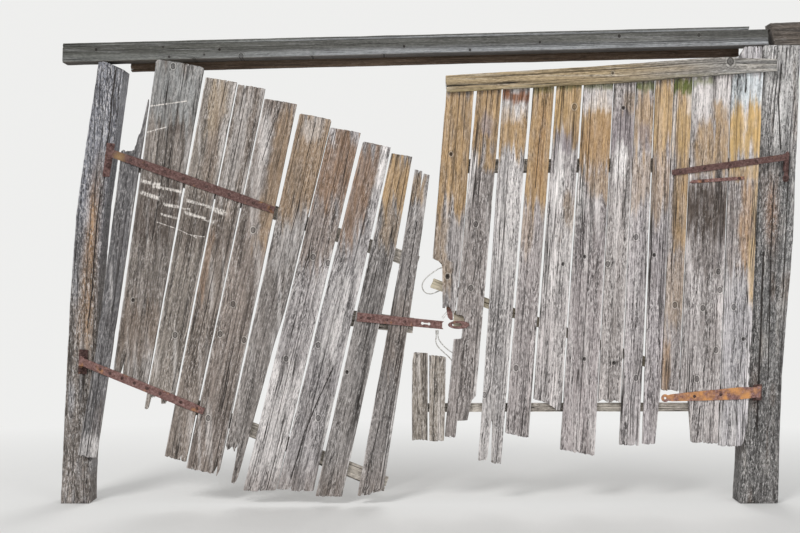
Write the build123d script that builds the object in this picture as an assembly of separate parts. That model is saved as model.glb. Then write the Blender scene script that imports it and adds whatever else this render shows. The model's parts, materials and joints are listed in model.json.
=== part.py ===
"""A double-leaf barn door of weathered boards, hung in a frame of two leaning posts and a lintel.

X runs to the right, Z up, and the door is seen from -Y. Millimetres throughout. The pieces are
drawn with the posts' front faces at Y = 0, and then moved together, so that the origin of the
finished door is on the ground at the middle of its overall box.
"""
from build123d import *
from dataclasses import dataclass, field
from math import atan2, degrees, hypot, pi, radians, tan
import os

# How far a cutting tool reaches past the face it cuts through
CUT_MARGIN = 1.0

# Frame
POST_DEPTH = 150.0
LINTEL_DEPTH = 100.0
LINTEL_HEIGHT = 88.0
LINTEL_END_SLANT = 9.0
LATH_SETBACK = 3.0
LATH_HEIGHT = 18.0
LATH_DEPTH = 78.0
RAIL_THICKNESS = 36.0
RAIL_DROP = 40.0
TENON_WIDTH = 60.0
TENON_DEPTH = 50.0
TENON_HEIGHT = 45.0
TENON_CLEARANCE = 0.3
LEFT_POST_SEAT = 40.0
LEFT_POST_TOP_FALL = 48.0
SIDE_BEAM_HEIGHT = 122.0
SIDE_BEAM_GAP = 30.0
SIDE_BEAM_RISE = 6.0
SIDE_BEAM_SLANT = 26.0
SIDE_BEAM_OVERHANG = 6.0

# Leaves
BOARD_THICKNESS = 25.0
LEDGE_THICKNESS = 25.0
LEAF_CLEARANCE = 8.0
TOP_BATTEN_THICKNESS = 24.0
UPPER_LEDGE_WIDTH = 78.0
LOWER_LEDGE_WIDTH = 82.0
HASP_LEDGE_WIDTH = 88.0
RIGHT_LOWER_LEDGE_WIDTH = 48.0
BRACE_WIDTH = 55.0
NAIL_CLEARANCE = 0.25

# Ironwork
STRAP_THICKNESS = 6.0
PIN_RADIUS = 7.0
PIN_CLEARANCE = 0.06
PIN_RISE = 8.0
EYE_MARGIN = 10.0
COLLAR_RADIUS = 14.0
COLLAR_HEIGHT = 9.0
COLLAR_GAP = 0.3
PLATE_THICKNESS = 8.0
NAIL_RADIUS = 4.0
NAIL_HEAD_RADIUS = 8.5
NAIL_HEAD_TOP_RADIUS = 5.0
NAIL_HEAD_HEIGHT = 4.0
DISC_HOLE_RADIUS = 6.5
PATCH_THICKNESS = 4.0
HASP_THICKNESS = 7.0
HASP_WIDTH = 50.0
HASP_SLOT_RADIUS = 7.5
HASP_SLOT_NECK = 7.0
HASP_SLOT_SPAN = 36.0
KEEPER_LENGTH = 118.0
KEEPER_HEIGHT = 46.0
KEEPER_THICKNESS = 12.0
KEEPER_CHAMFER = 3.0
KEEPER_HOLE_LENGTH = 54.0
KEEPER_HOLE_HEIGHT = 17.0
KEEPER_STEM_RADIUS = 7.0
KEEPER_STRAP_THICKNESS = 6.0

# Tie cable
CABLE_DIAMETER = 6.5
BEND_SHARE = 0.45
FERRULE_RADIUS = 9.0
FERRULE_LENGTH = 20.0
CLAMP_SIZE = 34.0
CLAMP_THICKNESS = 20.0
HOOK_RADIUS = 4.0
HOOK_LENGTH = 26.0
HOOK_CAP_RADIUS = 8.0
HOOK_CAP_HEIGHT = 3.0
TIE_WIRE_RADIUS = 2.2

# Depths that follow from the sizes above
FRAME_FACE = 0.0
BOARD_BACK = FRAME_FACE - LEAF_CLEARANCE
BOARD_FRONT = BOARD_BACK - BOARD_THICKNESS
LEDGE_BACK = BOARD_BACK + LEDGE_THICKNESS
STRAP_FRONT = BOARD_FRONT - STRAP_THICKNESS
EYE_BORE = PIN_RADIUS + PIN_CLEARANCE
EYE_RADIUS = EYE_BORE + STRAP_THICKNESS
AXIS_Y = BOARD_FRONT + EYE_BORE
PLATE_FRONT = FRAME_FACE - PLATE_THICKNESS

# Hinge pins, as (x, z) of the middle of each eye
LEFT_LOWER_PIN = (-1958.0, 791.0)
LEFT_UPPER_PIN = (-1798.0, 1937.0)
RIGHT_LOWER_PIN = (1772.0, 621.0)
RIGHT_UPPER_PIN = (1927.0, 1914.0)

# Heights at which the boards' widths and gaps were measured
LEFT_LOW, LEFT_HIGH = 632.0, 1952.0
RIGHT_LOW, RIGHT_HIGH = 638.0, 2266.0


def line_at(start, end, z):
    """The x of the straight line through two (x, z) points, at height z."""
    share = (z - start[1]) / (end[1] - start[1])
    return start[0] + (end[0] - start[0]) * share


def height_at(start, end, x):
    """The z of the straight line through two (x, z) points, at x."""
    share = (x - start[0]) / (end[0] - start[0])
    return start[1] + (end[1] - start[1]) * share


def flat_piece(points, front, back):
    """A piece with the given (x, z) outline, from the depth front to the depth back."""
    plane = Plane(origin=(0, back, 0), x_dir=(1, 0, 0), z_dir=(0, -1, 0))
    face = plane * make_face(Polyline(*points, close=True))
    return extrude(face, amount=back - front, dir=(0, -1, 0))


def cross_pin(x, z, radius, front, back):
    """A round bar along Y."""
    middle = (front + back) / 2
    return Pos(x, middle, z) * Rot(90, 0, 0) * Cylinder(radius, back - front)


def board_cut(x, z, radius):
    """The tool for a round hole right through a board."""
    return cross_pin(x, z, radius, BOARD_FRONT - CUT_MARGIN, BOARD_BACK + CUT_MARGIN)


def nail_hole(x, z, front, back):
    """The tool for a nail's hole through an iron piece between two depths."""
    return cross_pin(x, z, NAIL_RADIUS + NAIL_CLEARANCE, front - CUT_MARGIN, back + CUT_MARGIN)


def band(start, end, width):
    """The four corners of a straight band between two (x, z) points."""
    length = hypot(end[0] - start[0], end[1] - start[1])
    across = (-(end[1] - start[1]) / length, (end[0] - start[0]) / length)
    corners = []
    for point, half in ((start, -width / 2), (end, -width / 2), (end, width / 2), (start, width / 2)):
        corners.append((point[0] + across[0] * half, point[1] + across[1] * half))
    return corners


@dataclass
class Board:
    """One board of a leaf, by its width and the gap after it at the two measured heights.

    top and foot are outlines from left to right, as (share of the width, height).
    bends are (edge, height, shift) where an edge, 0 for left or 1 for right, leaves the straight.
    """
    name: str
    low: float
    high: float
    gap_low: float
    gap_high: float
    top: list
    foot: list
    bends: list = field(default_factory=list)
    knots: list = field(default_factory=list)


LEFT_BOARDS = [
    Board("left_board_1", 111, 130, 9, 9,
          [(0.12, 1948), (0.25, 1957), (0.42, 1950), (0.6, 1953), (0.66, 1958), (0.76, 2040),
           (0.84, 2062), (0.9, 2150), (0.97, 2242), (1.0, 2200)],
          [(-0.15, 276), (0.14, 266), (0.4, 258), (0.82, 246)],
          bends=[(0, 875, 12), (0, 632, 0)]),
    Board("left_board_2", 197, 251, 7, 15,
          [(0.0, 2453), (0.5, 2437), (0.52, 2385), (0.54, 2434), (1.0, 2409)],
          [(0.0, 708), (0.2, 704), (0.24, 790), (0.28, 696), (0.55, 668), (0.8, 664), (1.0, 640)],
          knots=[(0.38, 2412, 11)]),
    Board("left_board_3", 154, 172, 11, 9,
          [(0.0, 2355), (0.45, 2344), (1.0, 2328)],
          [(0.0, 524), (0.14, 520), (0.17, 612), (0.2, 585), (0.3, 582), (0.34, 606),
           (0.52, 592), (0.58, 548), (0.72, 550), (0.8, 586), (1.0, 578)],
          knots=[(0.62, 905, 7)]),
    Board("left_board_4", 129, 150, 8, 7,
          [(0.0, 2316), (0.5, 2306), (1.0, 2293)],
          [(0.0, 267), (0.28, 254), (0.31, 380), (0.34, 252), (0.72, 240), (0.76, 330),
           (0.8, 236), (1.0, 231)]),
    Board("left_board_5", 187, 185, 8, 24,
          [(0.0, 2237), (0.6, 2221), (1.0, 2208)],
          [(0.0, 199), (0.4, 184), (0.72, 170), (0.84, 165), (0.87, 300), (0.93, 150),
           (1.0, 190)],
          knots=[(0.55, 1516, 9)]),
    Board("left_board_6", 125, 177, 36, 7,
          [(0.0, 2156), (0.55, 2140), (1.0, 2120)],
          [(0.0, 330), (0.16, 296), (0.35, 318), (0.5, 286), (0.62, 350), (0.72, 118),
           (0.9, 112), (1.0, 150)],
          bends=[(1, 1072, 18), (1, 840, 8)]),
    Board("left_board_7", 179, 174, 8, 23,
          [(0.0, 2078), (0.5, 2066), (1.0, 2050)],
          [(0.0, 74), (0.45, 68), (0.47, 250), (0.5, 72), (1.0, 80)]),
    Board("left_board_8", 193, 163, 14, 9,
          [(0.0, 2001), (0.4, 1991), (1.0, 1969)],
          [(0.0, 82), (0.32, 78), (0.35, 330), (0.38, 74), (0.66, 70), (0.69, 210), (0.72, 71),
           (1.0, 76)],
          knots=[(0.6, 466, 8)]),
    Board("left_board_9", 139, 120, 65, 24,
          [(0.0, 1937), (1.0, 1919)],
          [(0.0, 44), (0.6, 42), (1.0, 46)],
          bends=[(0, 1400, 4), (1, 1400, 14)]),
    Board("left_board_10", 122, 84, 0, 0,
          [(0.0, 1850), (0.5, 1838), (0.54, 1560), (0.6, 1826), (1.0, 1816)],
          [(0.0, 44), (0.52, 52), (0.56, 240), (0.6, 60), (1.0, 84)],
          bends=[(0, 1350, 8), (1, 1350, 6)]),
]

# The right leaf's boards run from its hinge side to its free side
RIGHT_BOARDS = [
    Board("right_board_12", 173, 170, 5, 5,
          [(0.0, 2420), (0.13, 2440), (0.16, 2458), (0.38, 2524), (0.78, 2526), (0.8, 2462),
           (0.82, 2526), (0.94, 2526), (0.95, 2420), (1.0, 2418)],
          [(0.0, 322), (0.5, 316), (0.74, 320)],
          bends=[(1, 430, -20)], knots=[(0.73, 913, 7)]),
    Board("right_board_11", 220, 207, 5.5, 5,
          [(0.0, 2422), (1.0, 2428)],
          [(0.0, 578), (0.3, 570), (0.32, 338), (1.0, 334)],
          knots=[(0.55, 1085, 8), (0.4, 690, 8)]),
    Board("right_board_10", 96, 100, 4, 4,
          [(0.0, 2408), (1.0, 2416)],
          [(0.0, 634), (0.3, 622), (0.6, 630), (1.0, 618)]),
    Board("right_board_9", 101, 100, 4, 4,
          [(0.0, 2400), (1.0, 2406)],
          [(0.12, 334), (0.5, 326), (0.82, 334), (0.86, 420), (1.0, 640)],
          knots=[(0.55, 1375, 8)]),
    Board("right_board_8", 108, 101, 5, 4,
          [(0.0, 2392), (1.0, 2398)],
          [(0.0, 328), (0.5, 322), (1.0, 326)],
          knots=[(0.7, 700, 8)]),
    Board("right_board_7", 123, 118, 5, 5,
          [(0.0, 2382), (1.0, 2390)],
          [(0.0, 562), (0.25, 578), (0.5, 556), (0.75, 572), (1.0, 560)],
          knots=[(0.62, 781, 8)]),
    Board("right_board_6", 185, 162, 8, 11.5,
          [(0.0, 2372), (1.0, 2380)],
          [(0.0, 303), (0.35, 288), (0.37, 420), (0.4, 286), (1.0, 266)],
          knots=[(0.66, 803, 8), (0.4, 343, 7)]),
    Board("right_board_5", 157, 139, 11, 13,
          [(0.0, 2364), (1.0, 2370)],
          [(0.0, 580), (0.3, 566), (0.55, 548), (0.8, 520), (1.0, 514)],
          knots=[(0.5, 1325, 8)]),
    Board("right_board_4", 129, 116, 11, 16.5,
          [(0.0, 2356), (1.0, 2362)],
          [(0.0, 396), (0.4, 378), (1.0, 364)],
          knots=[(0.3, 755, 8)]),
    Board("right_board_3", 161, 151, 5.5, 5.5,
          [(0.0, 2348), (1.0, 2354)],
          [(0.2, 640), (0.22, 238), (0.52, 236), (0.56, 505), (0.63, 360), (0.66, 222),
           (1.0, 222)]),
    Board("right_board_2", 145, 135, 5.5, 17,
          [(0.0, 2340), (1.0, 2346)],
          [(-0.05, 374), (0.36, 366), (0.4, 560), (0.52, 478), (0.62, 530), (0.76, 462),
           (0.86, 575), (1.0, 600)],
          knots=[(0.25, 605, 6)]),
    Board("right_board_1", 150, 152, 0, 0,
          [(0.0, 2332), (0.6, 2334), (0.63, 1900), (0.67, 2334), (1.0, 2338)],
          [(0.0, 1358), (0.12, 1346), (0.26, 1332), (0.37, 1318), (0.51, 1078), (0.64, 1074),
           (0.7, 1088), (0.82, 1066), (0.97, 1048), (1.0, 1090)],
          bends=[(1, 1150, 4), (1, 1600, 7)], knots=[(0.5, 1257, 11), (0.42, 1932, 8)]),
]

# Two short remains of lost boards at the right leaf's free foot, as (x, z) outlines
STUBS = {
    "right_stub_1": [(-137, 352), (-139, 560), (-136, 790), (-128, 836), (-112, 842), (-66, 836),
                     (-50, 834), (-50, 350), (-90, 356)],
    "right_stub_2": [(-43, 352), (-43, 828), (8, 822), (51, 812), (46, 560), (39, 352), (0, 347)],
}

# The bite that is torn from board 2 of the right leaf around the keeper
BITE = [(70, 1046), (140, 1044), (146, 1038), (153, 1012), (148, 985), (140, 962), (134, 912),
        (70, 914)]


def leaf_boards(boards, lower_pin, upper_pin, levels, reveals, side):
    """The boards of one leaf, laid out one after another from the hinge axis."""
    low_z, high_z = levels
    low_x = line_at(lower_pin, upper_pin, low_z) + side * reveals[0]
    high_x = line_at(lower_pin, upper_pin, high_z) + side * reveals[1]
    solids = {}
    for board in boards:
        near = ((low_x, low_z), (high_x, high_z))
        low_x += side * board.low
        high_x += side * board.high
        far = ((low_x, low_z), (high_x, high_z))
        left, right = (near, far) if side > 0 else (far, near)
        solids[board.name] = board_solid(board, left, right)
        low_x += side * board.gap_low
        high_x += side * board.gap_high
    return solids


def board_solid(board, left, right):
    """One board between its two edge lines, with its worn top and foot and its knot holes."""
    def across(share, z):
        low = line_at(*left, z)
        return low + (line_at(*right, z) - low) * share

    def bent(edge):
        return [(across(side, z) + shift, z) for side, z, shift in board.bends if side == edge]

    points = [(across(share, z), z) for share, z in board.foot]
    points += sorted(bent(1), key=lambda point: point[1])
    points += [(across(share, z), z) for share, z in reversed(board.top)]
    points += sorted(bent(0), key=lambda point: -point[1])
    solid = flat_piece(points, BOARD_FRONT, BOARD_BACK)
    for share, z, radius in board.knots:
        solid -= board_cut(across(share, z), z, radius)
    return solid


def axis_frame(lower_pin, upper_pin, middle):
    """A location on a hinge axis, at the (x, z) middle of an eye, with Z along the pin."""
    lean = degrees(atan2(upper_pin[0] - lower_pin[0], upper_pin[1] - lower_pin[1]))
    return Pos(middle[0], AXIS_Y, middle[1]) * Rot(0, lean, 0)


def strap_nails(start, end, shares):
    """The (x, z) places of nails along a strap's centre line."""
    return [(start[0] + (end[0] - start[0]) * share, start[1] + (end[1] - start[1]) * share)
            for share in shares]


def strap_hinge(frame, start, end, widths, nails, disc=None):
    """A strap that is rolled into an eye round its pin, with nail holes along it."""
    length = hypot(end[0] - start[0], end[1] - start[1])
    along = ((end[0] - start[0]) / length, (end[1] - start[1]) / length)
    across = (-along[1], along[0])
    edges = {-1: [], 1: []}
    for share, width in widths:
        for side in edges:
            x = start[0] + along[0] * length * share + across[0] * side * width / 2
            z = start[1] + along[1] * length * share + across[1] * side * width / 2
            edges[side].append((x, z))
    plate = flat_piece(edges[-1] + edges[1][::-1], STRAP_FRONT, BOARD_FRONT)
    if disc:
        plate += cross_pin(*end, disc, STRAP_FRONT, BOARD_FRONT)
    height = widths[0][1] + EYE_MARGIN
    strap = plate + frame * Cylinder(EYE_RADIUS, height)
    strap -= frame * Cylinder(EYE_BORE, height * 2)
    for x, z in nails:
        strap -= nail_hole(x, z, STRAP_FRONT, BOARD_FRONT)
    return strap


def nail(x, z, seat):
    """A clenched nail: a flat-topped head on its seat, and a shank to the back of the board."""
    head = Pos(x, seat - NAIL_HEAD_HEIGHT / 2, z) * Rot(90, 0, 0) * Cone(
        NAIL_HEAD_RADIUS, NAIL_HEAD_TOP_RADIUS, NAIL_HEAD_HEIGHT)
    return head + cross_pin(x, z, NAIL_RADIUS, seat - NAIL_HEAD_HEIGHT / 2, BOARD_BACK)


def drill(solids, nails):
    """Cuts the nails' holes through every board that they meet."""
    drilled = {}
    for name, solid in solids.items():
        box = solid.bounding_box()
        for x, z in nails:
            reach = NAIL_RADIUS * 2
            if box.min.X - reach < x < box.max.X + reach and box.min.Z - reach < z < box.max.Z + reach:
                solid = solid - board_cut(x, z, NAIL_RADIUS + NAIL_CLEARANCE)
        drilled[name] = solid
    return drilled


def pintle(frame, eye_height, plate_outline, leg):
    """A forged pintle: a plate on the post, a leg that stands out from it, a collar and the pin."""
    foot = -eye_height / 2 - COLLAR_GAP
    top = eye_height / 2 + PIN_RISE
    body = frame * Pos(0, 0, (foot + top) / 2) * Cylinder(PIN_RADIUS, top - foot)
    body += frame * Pos(0, 0, foot - COLLAR_HEIGHT / 2) * Cylinder(COLLAR_RADIUS, COLLAR_HEIGHT)
    reach = FRAME_FACE - AXIS_Y
    body += frame * Pos(0, reach / 2, foot - COLLAR_HEIGHT - leg / 2) * Box(
        PIN_RADIUS * 2, reach, leg)
    body += frame * Pos(0, reach / 2, foot - COLLAR_HEIGHT / 2) * Box(
        PIN_RADIUS * 2, reach, COLLAR_HEIGHT)
    plate = flat_piece(plate_outline, PLATE_FRONT, FRAME_FACE)
    return body + plate


def cable(points, label):
    """A round cable along straight runs joined by tangent arcs."""
    vectors = [Vector(*point) for point in points]
    radii = []
    for before, corner, after in zip(vectors, vectors[1:], vectors[2:]):
        turn = (corner - before).get_angle(after - corner)
        run = min((corner - before).length, (after - corner).length)
        radii.append(BEND_SHARE * run / tan(radians(turn) / 2))
    path = FilletPolyline(*vectors, radius=radii)
    section = Plane(origin=path @ 0, z_dir=path % 0) * Circle(CABLE_DIAMETER / 2)
    tube = sweep(section, path=path)
    wanted = path.length * pi * (CABLE_DIAMETER / 2) ** 2
    print(label, "length", round(path.length, 1), "radii", [round(r, 1) for r in radii])
    print(label, "volume over section times length", round(tube.volume / wanted, 4))
    return tube


# The frame: posts as (x, z) outlines of their front faces
LEFT_POST_LEFT = [(-2084, 0), (-2034, 1071), (-2017, 1348), (-1995, 1624), (-1940, 2006)]
LEFT_POST_RIGHT = [(-1918, 0), (-1876, 1071), (-1857, 1403), (-1835, 1652), (-1790, 1978)]
LEFT_POST_HEAD = (-1874, -1733)
RIGHT_POST_LEFT = [(1677, 0), (1694, 352), (1720, 684), (1741, 1458), (1784, 2232)]
RIGHT_POST_RIGHT = [(1892, 0), (1902, 402), (1911, 684), (1974, 1458), (2002, 2150)]
RIGHT_POST_HEAD = (1809, 2014)
LINTEL_LEFT = (-2072.0, 2441.0)
LINTEL_RIGHT = (1840.0, 2538.0)
RAIL_ENDS = (-1722.0, 1706.0)
LATH_RIGHT = 1732.0


def build_frame():
    """The posts, the lintel with its lath and rail, and the end of the beam beside it."""
    def soffit(x):
        return height_at(LINTEL_LEFT, LINTEL_RIGHT, x)

    seat_end = LEFT_POST_HEAD[0] + LEFT_POST_SEAT
    left_outline = (LEFT_POST_LEFT
                    + [(LEFT_POST_HEAD[0], soffit(LEFT_POST_HEAD[0])), (seat_end, soffit(seat_end)),
                       (LEFT_POST_HEAD[1], soffit(LEFT_POST_HEAD[1]) - LEFT_POST_TOP_FALL)]
                    + LEFT_POST_RIGHT[::-1])
    left_post = flat_piece(left_outline, FRAME_FACE, POST_DEPTH)
    tenon_x = (LEFT_POST_HEAD[0] + seat_end) / 2 + TENON_WIDTH / 4
    tenon_y = LINTEL_DEPTH / 2
    tenon_foot = soffit(tenon_x) - TENON_WIDTH
    tenon_top = soffit(tenon_x) + TENON_HEIGHT

    def tenon(clearance):
        height = tenon_top + clearance - tenon_foot
        return Pos(tenon_x, tenon_y, tenon_foot + height / 2) * Box(
            TENON_WIDTH + 2 * clearance, TENON_DEPTH + 2 * clearance, height)

    right_seat = soffit(LINTEL_RIGHT[0])
    right_outline = (RIGHT_POST_LEFT
                     + [(RIGHT_POST_HEAD[0], soffit(RIGHT_POST_HEAD[0])),
                        (LINTEL_RIGHT[0], right_seat), (RIGHT_POST_HEAD[1], right_seat)]
                     + RIGHT_POST_RIGHT[::-1])
    right_post = flat_piece(right_outline, FRAME_FACE, POST_DEPTH)

    def top(x):
        return soffit(x) + LINTEL_HEIGHT

    top_right = LINTEL_RIGHT[0] - LINTEL_END_SLANT
    lintel_outline = [LINTEL_LEFT, LINTEL_RIGHT, (top_right, top(top_right)),
                      (LINTEL_LEFT[0], top(LINTEL_LEFT[0]))]
    lintel = flat_piece(lintel_outline, FRAME_FACE, LINTEL_DEPTH) - tenon(TENON_CLEARANCE)

    lath_outline = [(LINTEL_LEFT[0], top(LINTEL_LEFT[0])), (LATH_RIGHT, top(LATH_RIGHT)),
                    (LATH_RIGHT, top(LATH_RIGHT) + LATH_HEIGHT),
                    (LINTEL_LEFT[0], top(LINTEL_LEFT[0]) + LATH_HEIGHT)]
    lath_front = FRAME_FACE + LATH_SETBACK
    lath = flat_piece(lath_outline, lath_front, lath_front + LATH_DEPTH)

    rail_outline = [(x, soffit(x) - RAIL_DROP) for x in RAIL_ENDS]
    rail_outline += [(x, top(x)) for x in reversed(RAIL_ENDS)]
    rail = flat_piece(rail_outline, LINTEL_DEPTH, LINTEL_DEPTH + RAIL_THICKNESS)

    beam_left = LINTEL_RIGHT[0] + SIDE_BEAM_GAP
    beam_right = RIGHT_POST_HEAD[1] + SIDE_BEAM_OVERHANG
    beam_top = right_seat + SIDE_BEAM_HEIGHT
    beam_outline = [(beam_left, right_seat), (beam_right, right_seat),
                    (beam_right, beam_top + SIDE_BEAM_RISE), (beam_left - SIDE_BEAM_SLANT, beam_top)]
    return {
        "left_post": left_post + tenon(0),
        "right_post": right_post,
        "lintel": lintel,
        "lintel_lath": lath,
        "lintel_rail": rail,
        "side_beam_end": flat_piece(beam_outline, FRAME_FACE, LINTEL_DEPTH),
    }


# Straps as (centre line's end, (share of the length, width) along it, nails' shares)
LEFT_UPPER_END = (-893.0, 1621.0)
LEFT_UPPER_WIDTHS = [(0.0, 44), (0.3, 49), (0.8, 48), (1.0, 38)]
LEFT_UPPER_NAILS = [0.125, 0.22, 0.333, 0.447, 0.587, 0.724, 0.872, 0.975]
LEFT_LOWER_END = (-1282.0, 515.0)
LEFT_LOWER_WIDTHS = [(0.0, 44), (0.3, 47), (0.9, 46), (1.0, 36)]
LEFT_LOWER_NAILS = [0.157, 0.237, 0.335, 0.436, 0.538, 0.645, 0.813, 0.945]
RIGHT_UPPER_END = (1292.0, 1827.0)
RIGHT_UPPER_WIDTHS = [(0.0, 36), (0.5, 37), (0.97, 34), (1.0, 28)]
RIGHT_UPPER_NAILS = [0.27, 0.5, 0.72, 0.93]
RIGHT_LOWER_END = (1254.0, 588.0)
RIGHT_LOWER_WIDTHS = [(0.0, 54), (0.2, 68), (0.6, 54), (0.93, 40), (1.0, 24)]
RIGHT_LOWER_NAILS = [0.41, 0.69]
RIGHT_LOWER_DISC = 22.0
PATCH_START, PATCH_END = (1405.0, 1778.0), (1691.0, 1799.0)
PATCH_TIP = (1386.0, 1773.0)
PATCH_WIDTH = 19.0
PATCH_NAILS = [0.2, 0.9]

HASP_START, HASP_END = (-440.0, 1035.0), (38.0, 988.0)
HASP_NAILS = [0.044, 0.128, 0.191, 0.338, 0.549]
HASP_SLOT = 0.79
# The broken end of the bar, as (how much shorter than the whole bar, share of half its width)
HASP_FORK = [(0, -0.88), (8, -0.45), (10, 0.5), (2, 0.92)]
KEEPER_MIDDLE = (119.0, 991.0)
KEEPER_HOLE_SHIFT = -9.0
KEEPER_BLOCK = [(91, 979), (226, 979), (226, 1067), (91, 1067)]
KEEPER_STRAP = [(60, 1032), (74, 1016), (89, 1016), (88, 1078), (86, 1150), (56, 1150), (52, 1078)]

LEFT_UPPER_LEDGE = [(-1721.0, 1898.0), (-104.0, 1331.0)]
LEFT_LOWER_LEDGE = [(-1424.0, 572.0), (-278.0, 107.0)]
HASP_LEDGE = [(-506.0, 1029.0), (-129.0, 985.0)]
RIGHT_UPPER_LEDGE = [(30.0, 1866.0), (1678.0, 1874.0)]
RIGHT_LOWER_LEDGE = [(-132.0, 531.0), (1678.0, 536.0)]
BRACE = [(-28.0, 1222.0), (1640.0, 605.0)]
BATTEN_TOP = [(45, 2360), (676, 2398), (1148, 2431), (1408, 2453), (1590, 2461), (1864, 2449)]
BATTEN_FOOT = [(49, 2266), (676, 2301), (1012, 2318), (1408, 2351), (1703, 2372), (1864, 2383)]

LEFT_REVEALS = (64.0, 43.0)
RIGHT_REVEALS = (39.0, 177.0)


def build_left_leaf():
    """The sagging left leaf: boards, three ledges, two straps and the hasp bar."""
    boards = leaf_boards(LEFT_BOARDS, LEFT_LOWER_PIN, LEFT_UPPER_PIN, (LEFT_LOW, LEFT_HIGH),
                         LEFT_REVEALS, 1)
    upper_nails = strap_nails(LEFT_UPPER_PIN, LEFT_UPPER_END, LEFT_UPPER_NAILS)
    lower_nails = strap_nails(LEFT_LOWER_PIN, LEFT_LOWER_END, LEFT_LOWER_NAILS)
    hasp_nails = strap_nails(HASP_START, HASP_END, HASP_NAILS)
    boards = drill(boards, upper_nails + lower_nails + hasp_nails)
    upper = axis_frame(LEFT_LOWER_PIN, LEFT_UPPER_PIN, LEFT_UPPER_PIN)
    lower = axis_frame(LEFT_LOWER_PIN, LEFT_UPPER_PIN, LEFT_LOWER_PIN)
    solids = dict(boards)
    solids["left_upper_strap"] = strap_hinge(upper, LEFT_UPPER_PIN, LEFT_UPPER_END,
                                             LEFT_UPPER_WIDTHS, upper_nails)
    solids["left_lower_strap"] = strap_hinge(lower, LEFT_LOWER_PIN, LEFT_LOWER_END,
                                             LEFT_LOWER_WIDTHS, lower_nails)
    solids["left_upper_ledge"] = flat_piece(band(*LEFT_UPPER_LEDGE, UPPER_LEDGE_WIDTH),
                                            BOARD_BACK, LEDGE_BACK)
    solids["left_lower_ledge"] = flat_piece(band(*LEFT_LOWER_LEDGE, LOWER_LEDGE_WIDTH),
                                            BOARD_BACK, LEDGE_BACK)
    solids["hasp_ledge"] = flat_piece(band(*HASP_LEDGE, HASP_LEDGE_WIDTH), BOARD_BACK, LEDGE_BACK)
    solids["hasp_bar"] = hasp_bar(hasp_nails)
    solids["left_strap_nails"] = [nail(x, z, STRAP_FRONT) for x, z in upper_nails + lower_nails]
    solids["hasp_nails"] = [nail(x, z, BOARD_FRONT - HASP_THICKNESS) for x, z in hasp_nails]
    return solids


def hasp_bar(nails):
    """The flat bar that once closed over the keeper, with its worn slot and broken end."""
    length = hypot(HASP_END[0] - HASP_START[0], HASP_END[1] - HASP_START[1])
    slope = degrees(atan2(HASP_END[1] - HASP_START[1], HASP_END[0] - HASP_START[0]))
    half = HASP_WIDTH / 2
    outline = [(0, -half)] + [(length - short, half * share) for short, share in HASP_FORK] + [(0, half)]
    front = BOARD_FRONT - HASP_THICKNESS
    turn = Pos(HASP_START[0], 0, HASP_START[1]) * Rot(0, -slope, 0)
    bar = turn * flat_piece(outline, front, BOARD_FRONT)
    slot_left = length * HASP_SLOT - HASP_SLOT_SPAN / 2
    slot_right = slot_left + HASP_SLOT_SPAN
    for x in (slot_left, slot_right):
        bar -= turn * cross_pin(x, 0, HASP_SLOT_RADIUS, front - CUT_MARGIN, BOARD_FRONT + CUT_MARGIN)
    neck = band((slot_left, 0), (slot_right, 0), HASP_SLOT_NECK)
    bar -= turn * flat_piece(neck, front - CUT_MARGIN, BOARD_FRONT + CUT_MARGIN)
    for x, z in nails:
        bar -= nail_hole(x, z, front, BOARD_FRONT)
    return bar


def keeper():
    """The oval eye on the right leaf that the hasp bar once closed over, on its stem."""
    x, z = KEEPER_MIDDLE
    plane = Plane(origin=(x, BOARD_FRONT, z), x_dir=(1, 0, 0), z_dir=(0, -1, 0))
    ring = plane * (Ellipse(KEEPER_LENGTH / 2, KEEPER_HEIGHT / 2)
                    - Pos(KEEPER_HOLE_SHIFT, 0) * Ellipse(KEEPER_HOLE_LENGTH / 2, KEEPER_HOLE_HEIGHT / 2))
    eye = extrude(ring, amount=KEEPER_THICKNESS, dir=(0, -1, 0))
    eye = chamfer(eye.edges().group_by(Axis.Y)[0], KEEPER_CHAMFER)
    return eye + cross_pin(keeper_stem_x(), z, KEEPER_STEM_RADIUS, BOARD_FRONT - CUT_MARGIN, BOARD_BACK)


def keeper_stem_x():
    """The x of the keeper's stem, in the solid part of the eye right of its hole."""
    eye_end = KEEPER_MIDDLE[0] + KEEPER_LENGTH / 2
    hole_end = KEEPER_MIDDLE[0] + KEEPER_HOLE_SHIFT + KEEPER_HOLE_LENGTH / 2
    return (eye_end + hole_end) / 2


# The tie cable's two stretches, as (x, y, z) points chosen by eye
LOOP_POINTS = [
    (82, 27, 1199.1), (82, 27, 1232), (75, 20, 1266), (56, 10, 1296), (24, 2, 1308), (-10, 0, 1288),
    (-44, 0, 1263), (-72, 1, 1235), (-84, 4, 1202), (-71, 9, 1171), (-42, 15, 1158), (-13, 22, 1164),
    (12, 27, 1177), (38, 27, 1182), (64.9, 27, 1182)]
HANGING_POINTS = [
    (6, 0, 939.9), (6, 0, 920), (18, 0, 896), (42, 0, 868), (74, 0, 842), (112, 2, 824), (158, 5, 818),
    (200, 7, 794), (213, 8, 752), (190, 8, 716), (148, 7, 710), (114, 5, 736), (94, 3, 778),
    (64, 1, 816), (28, 0, 846), (1, 0, 874), (-7, 0, 900), (-3, 0, 922), (-3, 0, 939.9)]
CLAMP_MIDDLE = (82.0, 1182.0)
HOOK_PLACE = (155.0, 809.2)
FERRULE_MIDDLE = (1.5, 950.0)
TIE_WIRES = [((66.0, 1074.0), (28.0, 1030.0)), ((68.0, 1062.0), (33.0, 1022.0))]

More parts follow.
